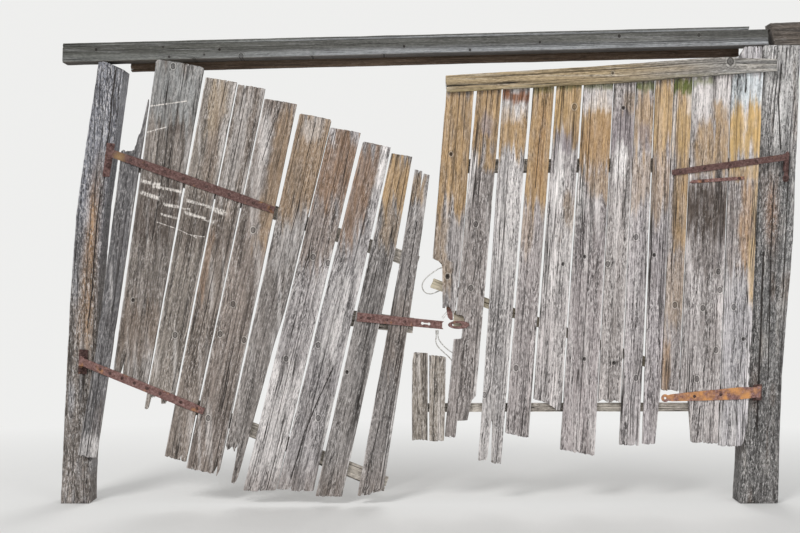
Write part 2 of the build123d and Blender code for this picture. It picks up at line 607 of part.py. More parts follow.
# Pintles, as the plate's (x, z) outline on the post and the leg's height under the collar
PINTLES = {
    "left_upper_pintle": [(-1823, 1996), (-1777, 1991), (-1809, 1806), (-1848, 1809)],
    "left_lower_pintle": [(-1976, 855), (-1927, 852), (-1934, 716), (-1983, 718)],
    "right_upper_pintle": [(1914, 1935), (1948, 1937), (1943, 1850), (1940, 1818), (1947, 1806),
                           (1944, 1786), (1929, 1778), (1914, 1784), (1910, 1804), (1919, 1818),
                           (1918, 1850)],
    "right_lower_pintle": [(1750, 660), (1797, 662), (1795, 573), (1745, 571)],
}
PINTLE_LEGS = {"left_upper_pintle": 6.0, "left_lower_pintle": 16.0,
               "right_upper_pintle": 44.0, "right_lower_pintle": 4.0}
PINTLE_BOLTS = [(-1812.0, 1869.0), (1929.0, 1797.0)]
BOLT_RING_RADIUS = 16.0
BOLT_RING_HEIGHT = 4.0
BOLT_RADIUS = 9.0
BOLT_HEIGHT = 10.0
PINTLE_NAILS = [(-1799.0, 1984.0), (-1836.0, 1820.0), (-1954.0, 844.0), (-1971.0, 728.0),
                (-1947.0, 728.0), (1787.0, 583.0)]
PINTLE_NAIL_RADIUS = 6.0


def build_pintles():
    """The four pintles on the posts, with their bolts and nails."""
    pins = {"left_lower": LEFT_LOWER_PIN, "left_upper": LEFT_UPPER_PIN,
            "right_lower": RIGHT_LOWER_PIN, "right_upper": RIGHT_UPPER_PIN}
    widths = {"left_lower": LEFT_LOWER_WIDTHS, "left_upper": LEFT_UPPER_WIDTHS,
              "right_lower": RIGHT_LOWER_WIDTHS, "right_upper": RIGHT_UPPER_WIDTHS}
    solids = {}
    for place, pin in pins.items():
        side = place.split("_")[0]
        frame = axis_frame(pins[side + "_lower"], pins[side + "_upper"], pin)
        name = place + "_pintle"
        solids[name] = pintle(frame, widths[place][0][1] + EYE_MARGIN, PINTLES[name], PINTLE_LEGS[name])
    bolts = []
    for x, z in PINTLE_BOLTS:
        ring = cross_pin(x, z, BOLT_RING_RADIUS, PLATE_FRONT - BOLT_RING_HEIGHT, PLATE_FRONT)
        bolts.append(ring + cross_pin(x, z, BOLT_RADIUS, PLATE_FRONT - BOLT_HEIGHT, PLATE_FRONT))
    for x, z in PINTLE_NAILS:
        bolts.append(cross_pin(x, z, PINTLE_NAIL_RADIUS, PLATE_FRONT - NAIL_HEAD_HEIGHT, PLATE_FRONT))
    solids["pintle_bolts"] = bolts
    return solids


def build_right_leaf():
    """The right leaf: boards, stubs, battens, brace, straps, the keeper and the tie cable."""
    boards = leaf_boards(RIGHT_BOARDS, RIGHT_LOWER_PIN, RIGHT_UPPER_PIN, (RIGHT_LOW, RIGHT_HIGH),
                         RIGHT_REVEALS, -1)
    for name, outline in STUBS.items():
        boards[name] = flat_piece(outline, BOARD_FRONT, BOARD_BACK)
    bite = flat_piece(BITE, BOARD_FRONT - CUT_MARGIN, BOARD_BACK + CUT_MARGIN)
    stem_hole = board_cut(keeper_stem_x(), KEEPER_MIDDLE[1], KEEPER_STEM_RADIUS + NAIL_CLEARANCE)
    boards["right_board_2"] -= bite + stem_hole
    upper_nails = strap_nails(RIGHT_UPPER_PIN, RIGHT_UPPER_END, RIGHT_UPPER_NAILS)
    lower_nails = strap_nails(RIGHT_LOWER_PIN, RIGHT_LOWER_END, RIGHT_LOWER_NAILS)
    patch_nails = strap_nails(PATCH_START, PATCH_END, PATCH_NAILS)
    solids = drill(boards, upper_nails + lower_nails + patch_nails)
    upper = axis_frame(RIGHT_LOWER_PIN, RIGHT_UPPER_PIN, RIGHT_UPPER_PIN)
    lower = axis_frame(RIGHT_LOWER_PIN, RIGHT_UPPER_PIN, RIGHT_LOWER_PIN)
    solids["right_upper_strap"] = strap_hinge(upper, RIGHT_UPPER_PIN, RIGHT_UPPER_END,
                                              RIGHT_UPPER_WIDTHS, upper_nails)
    right_lower = strap_hinge(lower, RIGHT_LOWER_PIN, RIGHT_LOWER_END, RIGHT_LOWER_WIDTHS,
                              lower_nails, RIGHT_LOWER_DISC)
    right_lower -= cross_pin(*RIGHT_LOWER_END, DISC_HOLE_RADIUS,
                             STRAP_FRONT - CUT_MARGIN, BOARD_FRONT + CUT_MARGIN)
    solids["right_lower_strap"] = right_lower
    patch_front = BOARD_FRONT - PATCH_THICKNESS
    patch = flat_piece(band(PATCH_START, PATCH_END, PATCH_WIDTH) + [PATCH_TIP], patch_front, BOARD_FRONT)
    for x, z in patch_nails:
        patch -= nail_hole(x, z, patch_front, BOARD_FRONT)
    solids["patch_strap"] = patch
    solids["right_strap_nails"] = ([nail(x, z, STRAP_FRONT) for x, z in upper_nails + lower_nails]
                                   + [nail(x, z, patch_front) for x, z in patch_nails])
    solids["top_batten"] = flat_piece(BATTEN_FOOT + BATTEN_TOP[::-1],
                                      BOARD_FRONT - TOP_BATTEN_THICKNESS, BOARD_FRONT)
    solids["right_upper_ledge"] = flat_piece(band(*RIGHT_UPPER_LEDGE, UPPER_LEDGE_WIDTH),
                                             BOARD_BACK, LEDGE_BACK)
    solids["right_lower_ledge"] = flat_piece(band(*RIGHT_LOWER_LEDGE, RIGHT_LOWER_LEDGE_WIDTH),
                                             BOARD_BACK, LEDGE_BACK)
    solids["brace"] = flat_piece(band(*BRACE, BRACE_WIDTH), BOARD_BACK, LEDGE_BACK)
    solids["keeper"] = keeper()
    solids["keeper_block"] = flat_piece(KEEPER_BLOCK, BOARD_BACK, LEDGE_BACK)
    solids["keeper_strap"] = flat_piece(KEEPER_STRAP, BOARD_BACK, BOARD_BACK + KEEPER_STRAP_THICKNESS)
    solids.update(build_tie())
    return solids


def build_tie():
    """The stiff wire cable that once tied the leaves, with its ferrule, clamp and hook."""
    clamp_back = LEDGE_BACK + CLAMP_THICKNESS
    clamp = Pos(CLAMP_MIDDLE[0], (LEDGE_BACK + clamp_back) / 2, CLAMP_MIDDLE[1]) * Box(
        CLAMP_SIZE, CLAMP_THICKNESS, CLAMP_SIZE)
    hook = cross_pin(*HOOK_PLACE, HOOK_RADIUS, BOARD_BACK, BOARD_BACK + HOOK_LENGTH)
    hook += cross_pin(*HOOK_PLACE, HOOK_CAP_RADIUS, BOARD_BACK + HOOK_LENGTH - HOOK_CAP_HEIGHT,
                      BOARD_BACK + HOOK_LENGTH)
    ferrule = Pos(FERRULE_MIDDLE[0], 0, FERRULE_MIDDLE[1]) * Cylinder(FERRULE_RADIUS, FERRULE_LENGTH)
    wires = []
    wire_y = BOARD_BACK + KEEPER_STRAP_THICKNESS + TIE_WIRE_RADIUS
    for start, end in TIE_WIRES:
        length = hypot(end[0] - start[0], end[1] - start[1])
        lean = degrees(atan2(end[0] - start[0], end[1] - start[1]))
        middle = Pos((start[0] + end[0]) / 2, wire_y, (start[1] + end[1]) / 2)
        wires.append(middle * Rot(0, lean, 0) * Cylinder(TIE_WIRE_RADIUS, length))
    return {
        "cable_clamp": clamp,
        "cable_hook": hook,
        "cable_ferrule": ferrule,
        "tie_wires": wires,
        "cable_loop": cable(LOOP_POINTS, "cable_loop"),
        "cable_hanging": cable(HANGING_POINTS, "cable_hanging"),
    }


def main():
    """Builds every piece and writes one file for each."""
    os.makedirs("parts", exist_ok=True)
    solids = {}
    solids.update(build_frame())
    solids.update(build_pintles())
    solids.update(build_left_leaf())
    solids.update(build_right_leaf())
    middle_x = (LEFT_POST_LEFT[0][0] + RIGHT_POST_HEAD[1] + SIDE_BEAM_OVERHANG) / 2
    middle_y = (BOARD_FRONT - TOP_BATTEN_THICKNESS + FRAME_FACE + POST_DEPTH) / 2
    place = Pos(-middle_x, -middle_y, 0)
    for name, shape in solids.items():
        if isinstance(shape, list):
            placed = Compound(children=[place * piece for piece in shape])
        else:
            placed = place * shape
        export_step(placed, f"parts/{name}.step")
    print(len(solids), "pieces")


main()
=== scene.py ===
"""The looks of a double-leaf barn door: weathered boards and posts, rusted ironwork, a tie cable.

Metres throughout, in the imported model's frame: X to the right, Y into the barn, Z up. Each timber is
rebuilt as a fine mesh inside its plain solid: the outline is read from the solid's front face, and
grain, checks, knots and worn edges are pressed into it, never out of it.
"""

import json
import math

import bpy
import numpy as np
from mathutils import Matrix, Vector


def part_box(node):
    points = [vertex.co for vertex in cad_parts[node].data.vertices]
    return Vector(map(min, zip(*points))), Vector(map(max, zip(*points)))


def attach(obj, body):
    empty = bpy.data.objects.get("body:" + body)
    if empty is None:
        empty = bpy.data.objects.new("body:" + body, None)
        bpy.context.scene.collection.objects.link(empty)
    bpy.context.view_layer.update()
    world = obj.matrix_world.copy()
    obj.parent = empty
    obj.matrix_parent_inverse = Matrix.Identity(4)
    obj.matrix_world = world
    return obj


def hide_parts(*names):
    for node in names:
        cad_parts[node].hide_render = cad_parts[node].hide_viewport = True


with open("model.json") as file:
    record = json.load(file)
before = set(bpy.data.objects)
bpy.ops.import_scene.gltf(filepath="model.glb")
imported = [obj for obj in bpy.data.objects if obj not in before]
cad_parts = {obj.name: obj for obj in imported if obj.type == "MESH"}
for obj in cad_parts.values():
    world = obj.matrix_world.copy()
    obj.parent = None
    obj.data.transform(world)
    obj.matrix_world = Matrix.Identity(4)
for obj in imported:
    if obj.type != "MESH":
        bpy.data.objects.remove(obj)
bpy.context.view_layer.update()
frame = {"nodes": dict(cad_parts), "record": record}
NODES = frame["nodes"]
BODY_OF = {node: body for body, nodes in frame["record"]["behaviour"]["bodies"].items()
           for node in nodes}

# The photograph's camera
CAMERA_PLACE = (-0.1715, -6.0795, 1.3118)
CAMERA_LENS = 49.09
SENSOR_WIDTH = 36.0


# Repeatable noise

def lattice(seed, i, j):
    """A repeatable number from -1 to 1 for each point of a grid."""
    mixed = (i * 374761393 + j * 668265263 + seed * 974634777) & 0xFFFFFFFF
    mixed = ((mixed ^ (mixed >> 13)) * 1274126177) & 0xFFFFFFFF
    mixed = mixed ^ (mixed >> 16)
    return (mixed & 0xFFFF) / 32767.5 - 1.0


def noise(u, v, seed):
    """Smooth noise from -1 to 1 with features about 1 across."""
    u, v = np.broadcast_arrays(np.asarray(u, float), np.asarray(v, float))
    i, j = np.floor(u).astype(np.int64), np.floor(v).astype(np.int64)
    fu, fv = u - i, v - j
    fu, fv = fu * fu * (3 - 2 * fu), fv * fv * (3 - 2 * fv)
    low = lattice(seed, i, j) * (1 - fu) + lattice(seed, i + 1, j) * fu
    high = lattice(seed, i, j + 1) * (1 - fu) + lattice(seed, i + 1, j + 1) * fu
    return low * (1 - fv) + high * fv


def blotches(x, z, across, along, seed):
    """Noise from 0 to 1 with features of the given sizes."""
    return 0.5 + 0.5 * noise(x / across, z / along, seed)


def step(value, start, end):
    """0 before start, 1 after end, and smooth between."""
    share = np.clip((value - start) / (end - start), 0, 1)
    return share * share * (3 - 2 * share)


def mix(a, b, share):
    """Colours a and b mixed by a share for each point."""
    share = np.asarray(share)[..., None]
    return np.asarray(a) * (1 - share) + np.asarray(b) * share


# Materials

class Graph:
    """The nodes of a material or of the world, with short calls to add and join them."""

    def __init__(self, owner, shader, **values):
        owner.use_nodes = True
        self.owner, self.tree = owner, owner.node_tree
        self.shader = self.tree.nodes[shader]
        for name, value in values.items():
            self.put(self.shader.inputs[name], value)

    def put(self, socket, value):
        """Sets a socket to a value, or joins another node's output to it."""
        if isinstance(value, bpy.types.NodeSocket):
            self.tree.links.new(value, socket)
        else:
            socket.default_value = value

    def add(self, kind, inputs, **settings):
        """Adds a node with its settings and its inputs."""
        node = self.tree.nodes.new("ShaderNode" + kind)
        for name, value in settings.items():
            setattr(node, name, value)
        for socket, value in inputs.items():
            self.put(node.inputs[socket], value)
        return node

    def attribute(self, name, output="Vector"):
        return self.add("Attribute", {}, attribute_name=name).outputs[output]

    def split(self, vector):
        return self.add("SeparateXYZ", {0: vector}).outputs

    def place(self):
        return self.add("TexCoord", {}).outputs["Object"]

    def stretch(self, vector, scale):
        return self.add("Mapping", {"Vector": vector, "Scale": scale}).outputs["Vector"]

    def noise(self, vector, scale=1.0, detail=3.0, rough=0.6, distortion=0.0):
        return self.add("TexNoise", {"Vector": vector, "Scale": scale, "Detail": detail,
                                     "Roughness": rough, "Distortion": distortion}).outputs["Fac"]

    def cells(self, vector, scale):
        return self.add("TexVoronoi", {"Vector": vector, "Scale": scale}).outputs["Distance"]

    def distance(self, vector, point):
        return self.add("VectorMath", {0: vector, 1: point}, operation="DISTANCE").outputs["Value"]

    def math(self, operation, a, b=0.0):
        return self.add("Math", {0: a, 1: b}, operation=operation).outputs[0]

    def plus(self, a, b):
        return self.math("ADD", a, b)

    def minus(self, a, b):
        return self.math("SUBTRACT", a, b)

    def times(self, a, b):
        return self.math("MULTIPLY", a, b)

    def most(self, highest, *others):
        for value in others:
            highest = self.math("MAXIMUM", highest, value)
        return highest

    def remap(self, value, from_low, from_high, to_low, to_high):
        return self.add("MapRange", {"Value": value, "From Min": from_low, "From Max": from_high,
                                     "To Min": to_low, "To Max": to_high}).outputs["Result"]

    def near(self, value, centre, full, none, strength):
        """The strength where a value is less than full from a centre, and 0 from none on."""
        return self.remap(self.math("ABSOLUTE", self.minus(value, centre)), full, none, strength, 0.0)

    def blend(self, a, b, share, mode="MIX"):
        node = self.add("Mix", {0: share}, data_type="RGBA", blend_type=mode)
        colours = [s for s in node.inputs if s.type == "RGBA"]
        self.put(colours[0], a)
        self.put(colours[1], b)
        return [s for s in node.outputs if s.type == "RGBA"][0]

    def ramp(self, value, stops):
        node = self.add("ValToRGB", {"Fac": value})
        band = node.color_ramp
        while len(band.elements) < len(stops):
            band.elements.new(0.5)
        for element, (position, colour) in zip(band.elements, stops):
            element.position = position
            element.color = (*colour, 1.0)
        return node.outputs["Color"]

    def bump(self, height, strength, distance):
        node = self.add("Bump", {"Strength": strength, "Distance": distance, "Height": height})
        self.put(self.shader.inputs["Normal"], node.outputs["Normal"])

    def finish(self, colour):
        self.put(self.shader.inputs["Base Color"], colour)
        return self.owner


def surface(name, roughness, metallic=0.0, specular=0.3):
    """The graph of a new material, whose shader has these plain values."""
    return Graph(bpy.data.materials.new(name), "Principled BSDF", Roughness=roughness,
                 Metallic=metallic, **{"Specular IOR Level": specular})


# What wood_material lays over a timber's tint
BLEACHED = (0.84, 0.80, 0.78, 1.0)
FLAKE = (0.72, 0.70, 0.69, 1.0)
KNOT_RIM = (0.66, 0.63, 0.58, 1.0)
# Near black: painted shade in cracks, dents, pits and gaps, and the dark of knots
CREVICE_SHADE_AND_KNOT = (0.022, 0.018, 0.016, 1.0)
RUBBED = (0.78, 0.73, 0.68, 1.0)


def wood_material(name, contrast=1.0, bleach=1.0, specks=0.0, cracking=1.0, roughness=0.93):
    """Weathered wood. The mesh carries its grain coordinates, its tint with how bleached it is, how
    deep each point lies as painted shade in recesses, and its distances from drawn cracks, scratches and
    knots."""
    g = surface(name, roughness)
    grain = g.attribute("grain")
    tint = g.attribute("tint", "Color")
    worn = g.attribute("tint", "Alpha")
    # Painted shade in recesses: how deep each point lies
    depth = g.attribute("recess_shade", "Fac")
    crack, scratch, knot = g.split(g.attribute("strokes"))
    cracked, scratched, _ = g.split(g.attribute("drawn"))

    def streaks(across, along, detail, rough=0.6, layer=1):
        """Noise drawn out along the grain, with its scales across and along it."""
        return g.noise(g.stretch(grain, (across, along, layer)), detail=detail, rough=rough)

    # Light and dark fibres, stronger where the wood is worn
    flecks = streaks(165, 38, 4, 0.75)
    fine = g.plus(g.times(flecks, 0.45), g.times(streaks(250, 9, 5, 0.7), 0.55))
    mixed = g.plus(g.times(fine, 0.72), g.times(streaks(62, 1.5, 3), 0.28))
    rough = g.times(worn, g.remap(streaks(17, 2.6, 2), 0.40, 0.60, 0.45, 1.0))
    low = g.remap(rough, 0.0, 1.0, 0.70, 1.0 - 0.74 * contrast)
    high = g.remap(rough, 0.0, 1.0, 1.22, 1.0 + 0.56 * contrast)
    share = g.remap(mixed, 0.42, 0.58, 0.0, 1.0)
    colour = g.blend(tint, g.plus(low, g.times(share, g.minus(high, low))), 1.0, "MULTIPLY")
    pale = g.times(g.remap(flecks, 0.54, 0.61, 0.0, bleach), g.times(rough, worn))
    colour = g.blend(colour, g.blend(BLEACHED, tint, 0.35), pale)

    # Hair cracks and dents, then the drawn cracks and knots. Cracks, dents and recesses get painted shade;
    # the knots' dark is their own colour.
    patchy = g.remap(streaks(24, 1.1, 1), 0.50, 0.62, 0.0, 1.0)
    cracks = g.times(g.near(streaks(88, 1.2, 1), 0.5, 0.010, 0.045, cracking), patchy)
    dents = g.times(g.remap(fine, 0.465, 0.415, 0.0, 0.9 * cracking), rough)
    wobble = g.times(g.minus(flecks, 0.5), 3.0)
    drawn = g.near(g.plus(crack, wobble), 0.0, 0.7, 1.3, 1.0)
    drawn = g.times(drawn, g.remap(cracked, 0.4, 0.9, 0.0, 1.0))
    away = g.plus(knot, g.times(wobble, 0.12))
    core = g.most(g.near(away, 0.92, 0.10, 0.32, 0.85), g.remap(away, 0.15, 0.55, 0.75, 0.38))
    core = g.times(core, g.remap(away, 1.10, 1.25, 1.0, 0.0))
    outer = g.near(away, 1.85, 0.0, 0.2, 0.4)
    dark = g.most(cracks, depth, dents, drawn, core, outer)
    if specks:
        spots = streaks(150, 55, 6, 0.8)
        dark = g.most(dark, g.remap(spots, 0.545, 0.60, 0.0, specks))
        flakes = streaks(120, 40, 6, 0.8, 2)
        colour = g.blend(colour, FLAKE, g.remap(flakes, 0.55, 0.62, 0.0, specks * 0.8))
    colour = g.blend(colour, KNOT_RIM, g.near(away, 1.35, 0.1, 0.3, 0.28 * bleach ** 2))
    # Painted shade in cracks, dents and recesses, with the knots' own dark
    colour = g.blend(colour, CREVICE_SHADE_AND_KNOT, g.times(dark, 0.95))

    # Rubbed marks lie on top
    rubbed = g.near(g.plus(scratch, g.times(wobble, 0.5)), 0.0, 0.5, 1.2, 0.9)
    rubbed = g.times(rubbed, g.remap(flecks, 0.44, 0.52, 0.1, 1.0))
    rubbed = g.times(rubbed, g.remap(scratched, 0.4, 0.9, 0.0, 1.0))
    colour = g.blend(colour, RUBBED, rubbed)
    g.bump(g.minus(g.times(mixed, 2.0), dark), 0.7, 0.0022)
    return g.finish(colour)


# Colours of rust: the scale from dark to pinkish, then what lies on it
RUST_SCALE = [(0.30, (0.035, 0.020, 0.018)), (0.44, (0.125, 0.058, 0.050)),
              (0.56, (0.225, 0.125, 0.112)), (0.70, (0.36, 0.245, 0.23))]
PINK_RUST = (0.42, 0.29, 0.27)
BRIGHT_RUST = (0.52, 0.25, 0.085)
DUST = (0.50, 0.44, 0.40, 1.0)
OCHRE_BLOOM = (0.38, 0.25, 0.10, 1.0)
PIT = (0.018, 0.012, 0.010, 1.0)


def rust_material(name, level=1.0, pinkness=0.5, orange=0.1, dust=0.3, bloom=None):
    """Rusted iron: dark scale, maroon and pinkish rust, orange blooms, dust and pits. The level makes
    the rust lighter or darker. A bloom is one more ochre patch, as its place and its reach."""
    g = surface(name, 0.86, 0.05, 0.35)
    place = g.place()
    patches = g.noise(place, 70, 8, 0.7, 0.3)
    specks = g.noise(place, 420, 4, 0.7)
    zones = g.noise(place, 14, 4, 0.6)
    scale = [(at, tuple(level * c for c in tone)) for at, tone in RUST_SCALE]
    pink, bright = ((*(level * c for c in tone), 1.0) for tone in (PINK_RUST, BRIGHT_RUST))
    colour = g.blend(g.ramp(patches, scale), pink, g.remap(specks, 0.50, 0.68, 0.0, pinkness))
    blooms = g.remap(zones, 0.62 - orange * 0.3, 0.80 - orange * 0.3, 0.0, 0.9)
    colour = g.blend(colour, bright, blooms)
    colour = g.blend(colour, DUST, g.remap(g.noise(place, 150, 6, 0.75), 0.60, 0.74, 0.0, dust))
    if bloom:
        *centre, reach = bloom
        away = g.plus(g.distance(place, centre), g.times(patches, 2 * reach))
        near = g.remap(away, 1.2 * reach, 2.2 * reach, 0.9, 0.0)
        colour = g.blend(colour, OCHRE_BLOOM, g.times(near, g.remap(specks, 0.40, 0.56, 0.35, 1.0)))
    pits = g.remap(g.cells(place, 260), 0.0, 0.35, 1.0, 0.0)
    colour = g.blend(colour, PIT, g.times(pits, 0.55))
    g.bump(g.minus(g.plus(patches, g.times(specks, 0.5)), g.times(pits, 0.5)), 0.8, 0.0022)
    return g.finish(colour)


def steel_material(name):
    """Dull, spotted steel of the tie cable."""
    g = surface(name, 0.45, 0.35, 0.5)
    place = g.place()
    greys = [(0.35, (0.28, 0.26, 0.24)), (0.5, (0.58, 0.57, 0.54)), (0.65, (0.80, 0.80, 0.78))]
    colour = g.ramp(g.noise(place, 130, 5, 0.7), greys)
    rusty = g.remap(g.noise(place, 40, 3), 0.60, 0.72, 0.0, 0.5)
    colour = g.blend(colour, (0.26, 0.14, 0.075, 1.0), rusty)
    g.bump(g.noise(place, 900, 2), 0.3, 0.0006)
    return g.finish(colour)


BOARD_WOOD = wood_material("board_wood")
POST_WOOD = wood_material("post_wood", bleach=0.9, specks=0.9)
LINTEL_WOOD = wood_material("lintel_wood", contrast=0.75, bleach=0.4, cracking=0.5)
PALE_WOOD = wood_material("pale_wood", contrast=0.5, bleach=0.5, cracking=0.4, roughness=0.85)
RUST = rust_material("rust")
RED_RUST = rust_material("red_rust", 1.15, 0.3, 0.3, 0.2)
DARK_RUST = rust_material("dark_rust", 0.66, 0.4, 0.05, 0.12)
BLACK_RUST = rust_material("black_rust", 0.40, 0.2, 0.0, 0.15)
ORANGE_RUST = rust_material("orange_rust", 1.35, 0.3, 0.62, 0.4)
ROOT_RUST = rust_material("root_rust", 0.66, 0.4, 0.05, 0.12, (-1.715, -0.075, 1.912, 0.036))
STEEL = steel_material("cable_steel")


# Reading the solids and the drawn lines

def outline(node):
    """The outer edge of a solid's front face, as an array of (x, z) corners in order."""
    mesh = NODES[node].data
    points = np.array([v.co for v in mesh.vertices])
    front = points[:, 1].min()
    keys = [tuple(np.round(p[[0, 2]], 6)) for p in points]
    runs = {}
    for polygon in mesh.polygons:
        corners = [keys[i] for i in polygon.vertices]
        if max(abs(points[i][1] - front) for i in polygon.vertices) < 1e-5:
            runs |= dict.fromkeys(zip(corners, corners[1:] + corners[:1]))
    following = dict((a, b) for a, b in runs if (b, a) not in runs)
    loops = []
    while following:
        start, here = following.popitem()
        loop = [start]
        while here != start:
            loop.append(here)
            here = following.pop(here)
        loops.append(np.array(loop))
    return max(loops, key=lambda loop: np.prod(np.ptp(loop, axis=0)))


def crossings(loop, levels):
    """For each level along a timber, the places across it where its edge is crossed, in columns."""
    ends = np.roll(loop, -1, axis=0)
    found = []
    for (s0, a0), (s1, a1) in zip(loop, ends):
        if s0 == s1:
            continue
        share = (levels - s0) / (s1 - s0)
        found.append(np.where((share >= 0) & (share < 1), a0 + (a1 - a0) * share, np.nan))
    return np.array(found).T


def edge_lines(loop, levels, reach):
    """The two long edges at each level. Where the edge is further than reach from the straight
    line of its longest part, as at a broken end, that line runs on."""
    ends = np.roll(loop, -1, axis=0)
    length = np.abs(ends[:, 0] - loop[:, 0])
    middle = (loop[:, 1] + ends[:, 1]) / 2
    centre = np.average(middle, weights=length)
    hits = crossings(loop, levels)
    lines = []
    for side, found in ((-1, np.nanmin(hits, axis=1)), (1, np.nanmax(hits, axis=1))):
        on_side = np.where((middle - centre) * side > 0, length, 0)
        k = int(np.argmax(on_side))
        slope = (ends[k, 1] - loop[k, 1]) / (ends[k, 0] - loop[k, 0])
        straight = loop[k, 1] + slope * (levels - loop[k, 0])
        shift = found - straight
        good = np.abs(shift) < reach
        lines.append(straight + np.interp(levels, levels[good], shift[good]))
    return lines


def lies_on(corners, x, z):
    """Whether a point lies within a loop of (x, z) corners."""
    ends = np.roll(corners, -1, axis=0)
    rising = (corners[:, 1] > z) != (ends[:, 1] > z)
    drop = np.where(ends[:, 1] == corners[:, 1], 1.0, ends[:, 1] - corners[:, 1])
    cross = corners[:, 0] + (z - corners[:, 1]) / drop * (ends[:, 0] - corners[:, 0])
    return np.count_nonzero(rising & (cross < x)) % 2 == 1


def lines_on(corners, lines):
    """The drawn lines that cross a loop of corners, each with some of its points within the loop."""
    found = []
    for half, *points in lines:
        places = np.linspace(0, len(points) - 1, 16)
        xs, zs = (np.interp(places, np.arange(len(points)), [p[k] for p in points]) for k in (0, 1))
        within = [(x, z) for x, z in zip(xs, zs) if lies_on(corners, x, z)]
        if within:
            found.append((half, points, np.array(within)))
    return found


def line_distances(across, along, lines, first, second):
    """Distances from drawn lines in their own half-widths, which change sign only at a line, and
    whether the nearest line is drawn at that level."""
    crossed = np.zeros(across.shape, int)
    nearest = np.full(across.shape, FAR)
    drawn = np.zeros(across.shape)
    for half, points, _ in lines:
        ordered = sorted(points, key=lambda p: p[second])
        levels = [p[second] for p in ordered]
        away = across - np.interp(along, levels, [p[first] for p in ordered])
        crossed += away > 0
        near = np.abs(away) / half < nearest
        nearest = np.where(near, np.abs(away) / half, nearest)
        drawn = np.where(near, (along >= levels[0]) & (along <= levels[-1]), drawn)
    return np.where(crossed % 2 == 1, nearest, -nearest), drawn


# Making pieces

def new_mesh(name, points, polygons):
    mesh = bpy.data.meshes.new(name)
    mesh.from_pydata(points, [], polygons)
    return mesh


def new_object(name, data):
    """A new object, linked to the scene."""
    found = bpy.data.objects.new(name, data)
    bpy.context.scene.collection.objects.link(found)
    return found


def show(mesh, material, node):
    """Shows a finished mesh as a piece that stands for a CAD node and rides on its body."""
    mesh.polygons.foreach_set("use_smooth", [True] * len(mesh.polygons))
    mesh.materials.append(material)
    mesh.update()
    piece = new_object(mesh.name, mesh)
    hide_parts(node)
    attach(piece, BODY_OF[node])
    return piece


# Timbers

# How far apart the columns and the rows of boards and posts stand
BOARD_PITCH, BOARD_ROW = 0.0038, 0.021
POST_PITCH, POST_ROW = 0.0050, 0.023

# Where they stand closer: columns at the rounded edges, and rows at corners, ends, scratches and
# knots. Then where the even columns begin, and the least distances between rows and between checks.
EDGE_INSETS = (0.0008, 0.002, 0.0042)
CORNER_ROWS = np.array([-0.004, 0.0, 0.004])
END_ROWS = np.array([0.004, 0.009])
SCRATCH_ROW = 0.007
KNOT_ROWS = 9
EVEN_FROM = 0.0065
ROW_GAP = 0.002
CHECK_GAP = 0.006

# Levels at which an outline is read, and a distance beyond every drawn line's and knot's reach
LEVELS = 900
FAR = 9.0

# How wide broken fibres are, how deep a check is that shows at the back too, and how much of the
# thickness a face is pressed in at most
FIBRE = 0.0055
DEEP_CHECK = 0.0045
MOST_PRESSED = 0.46


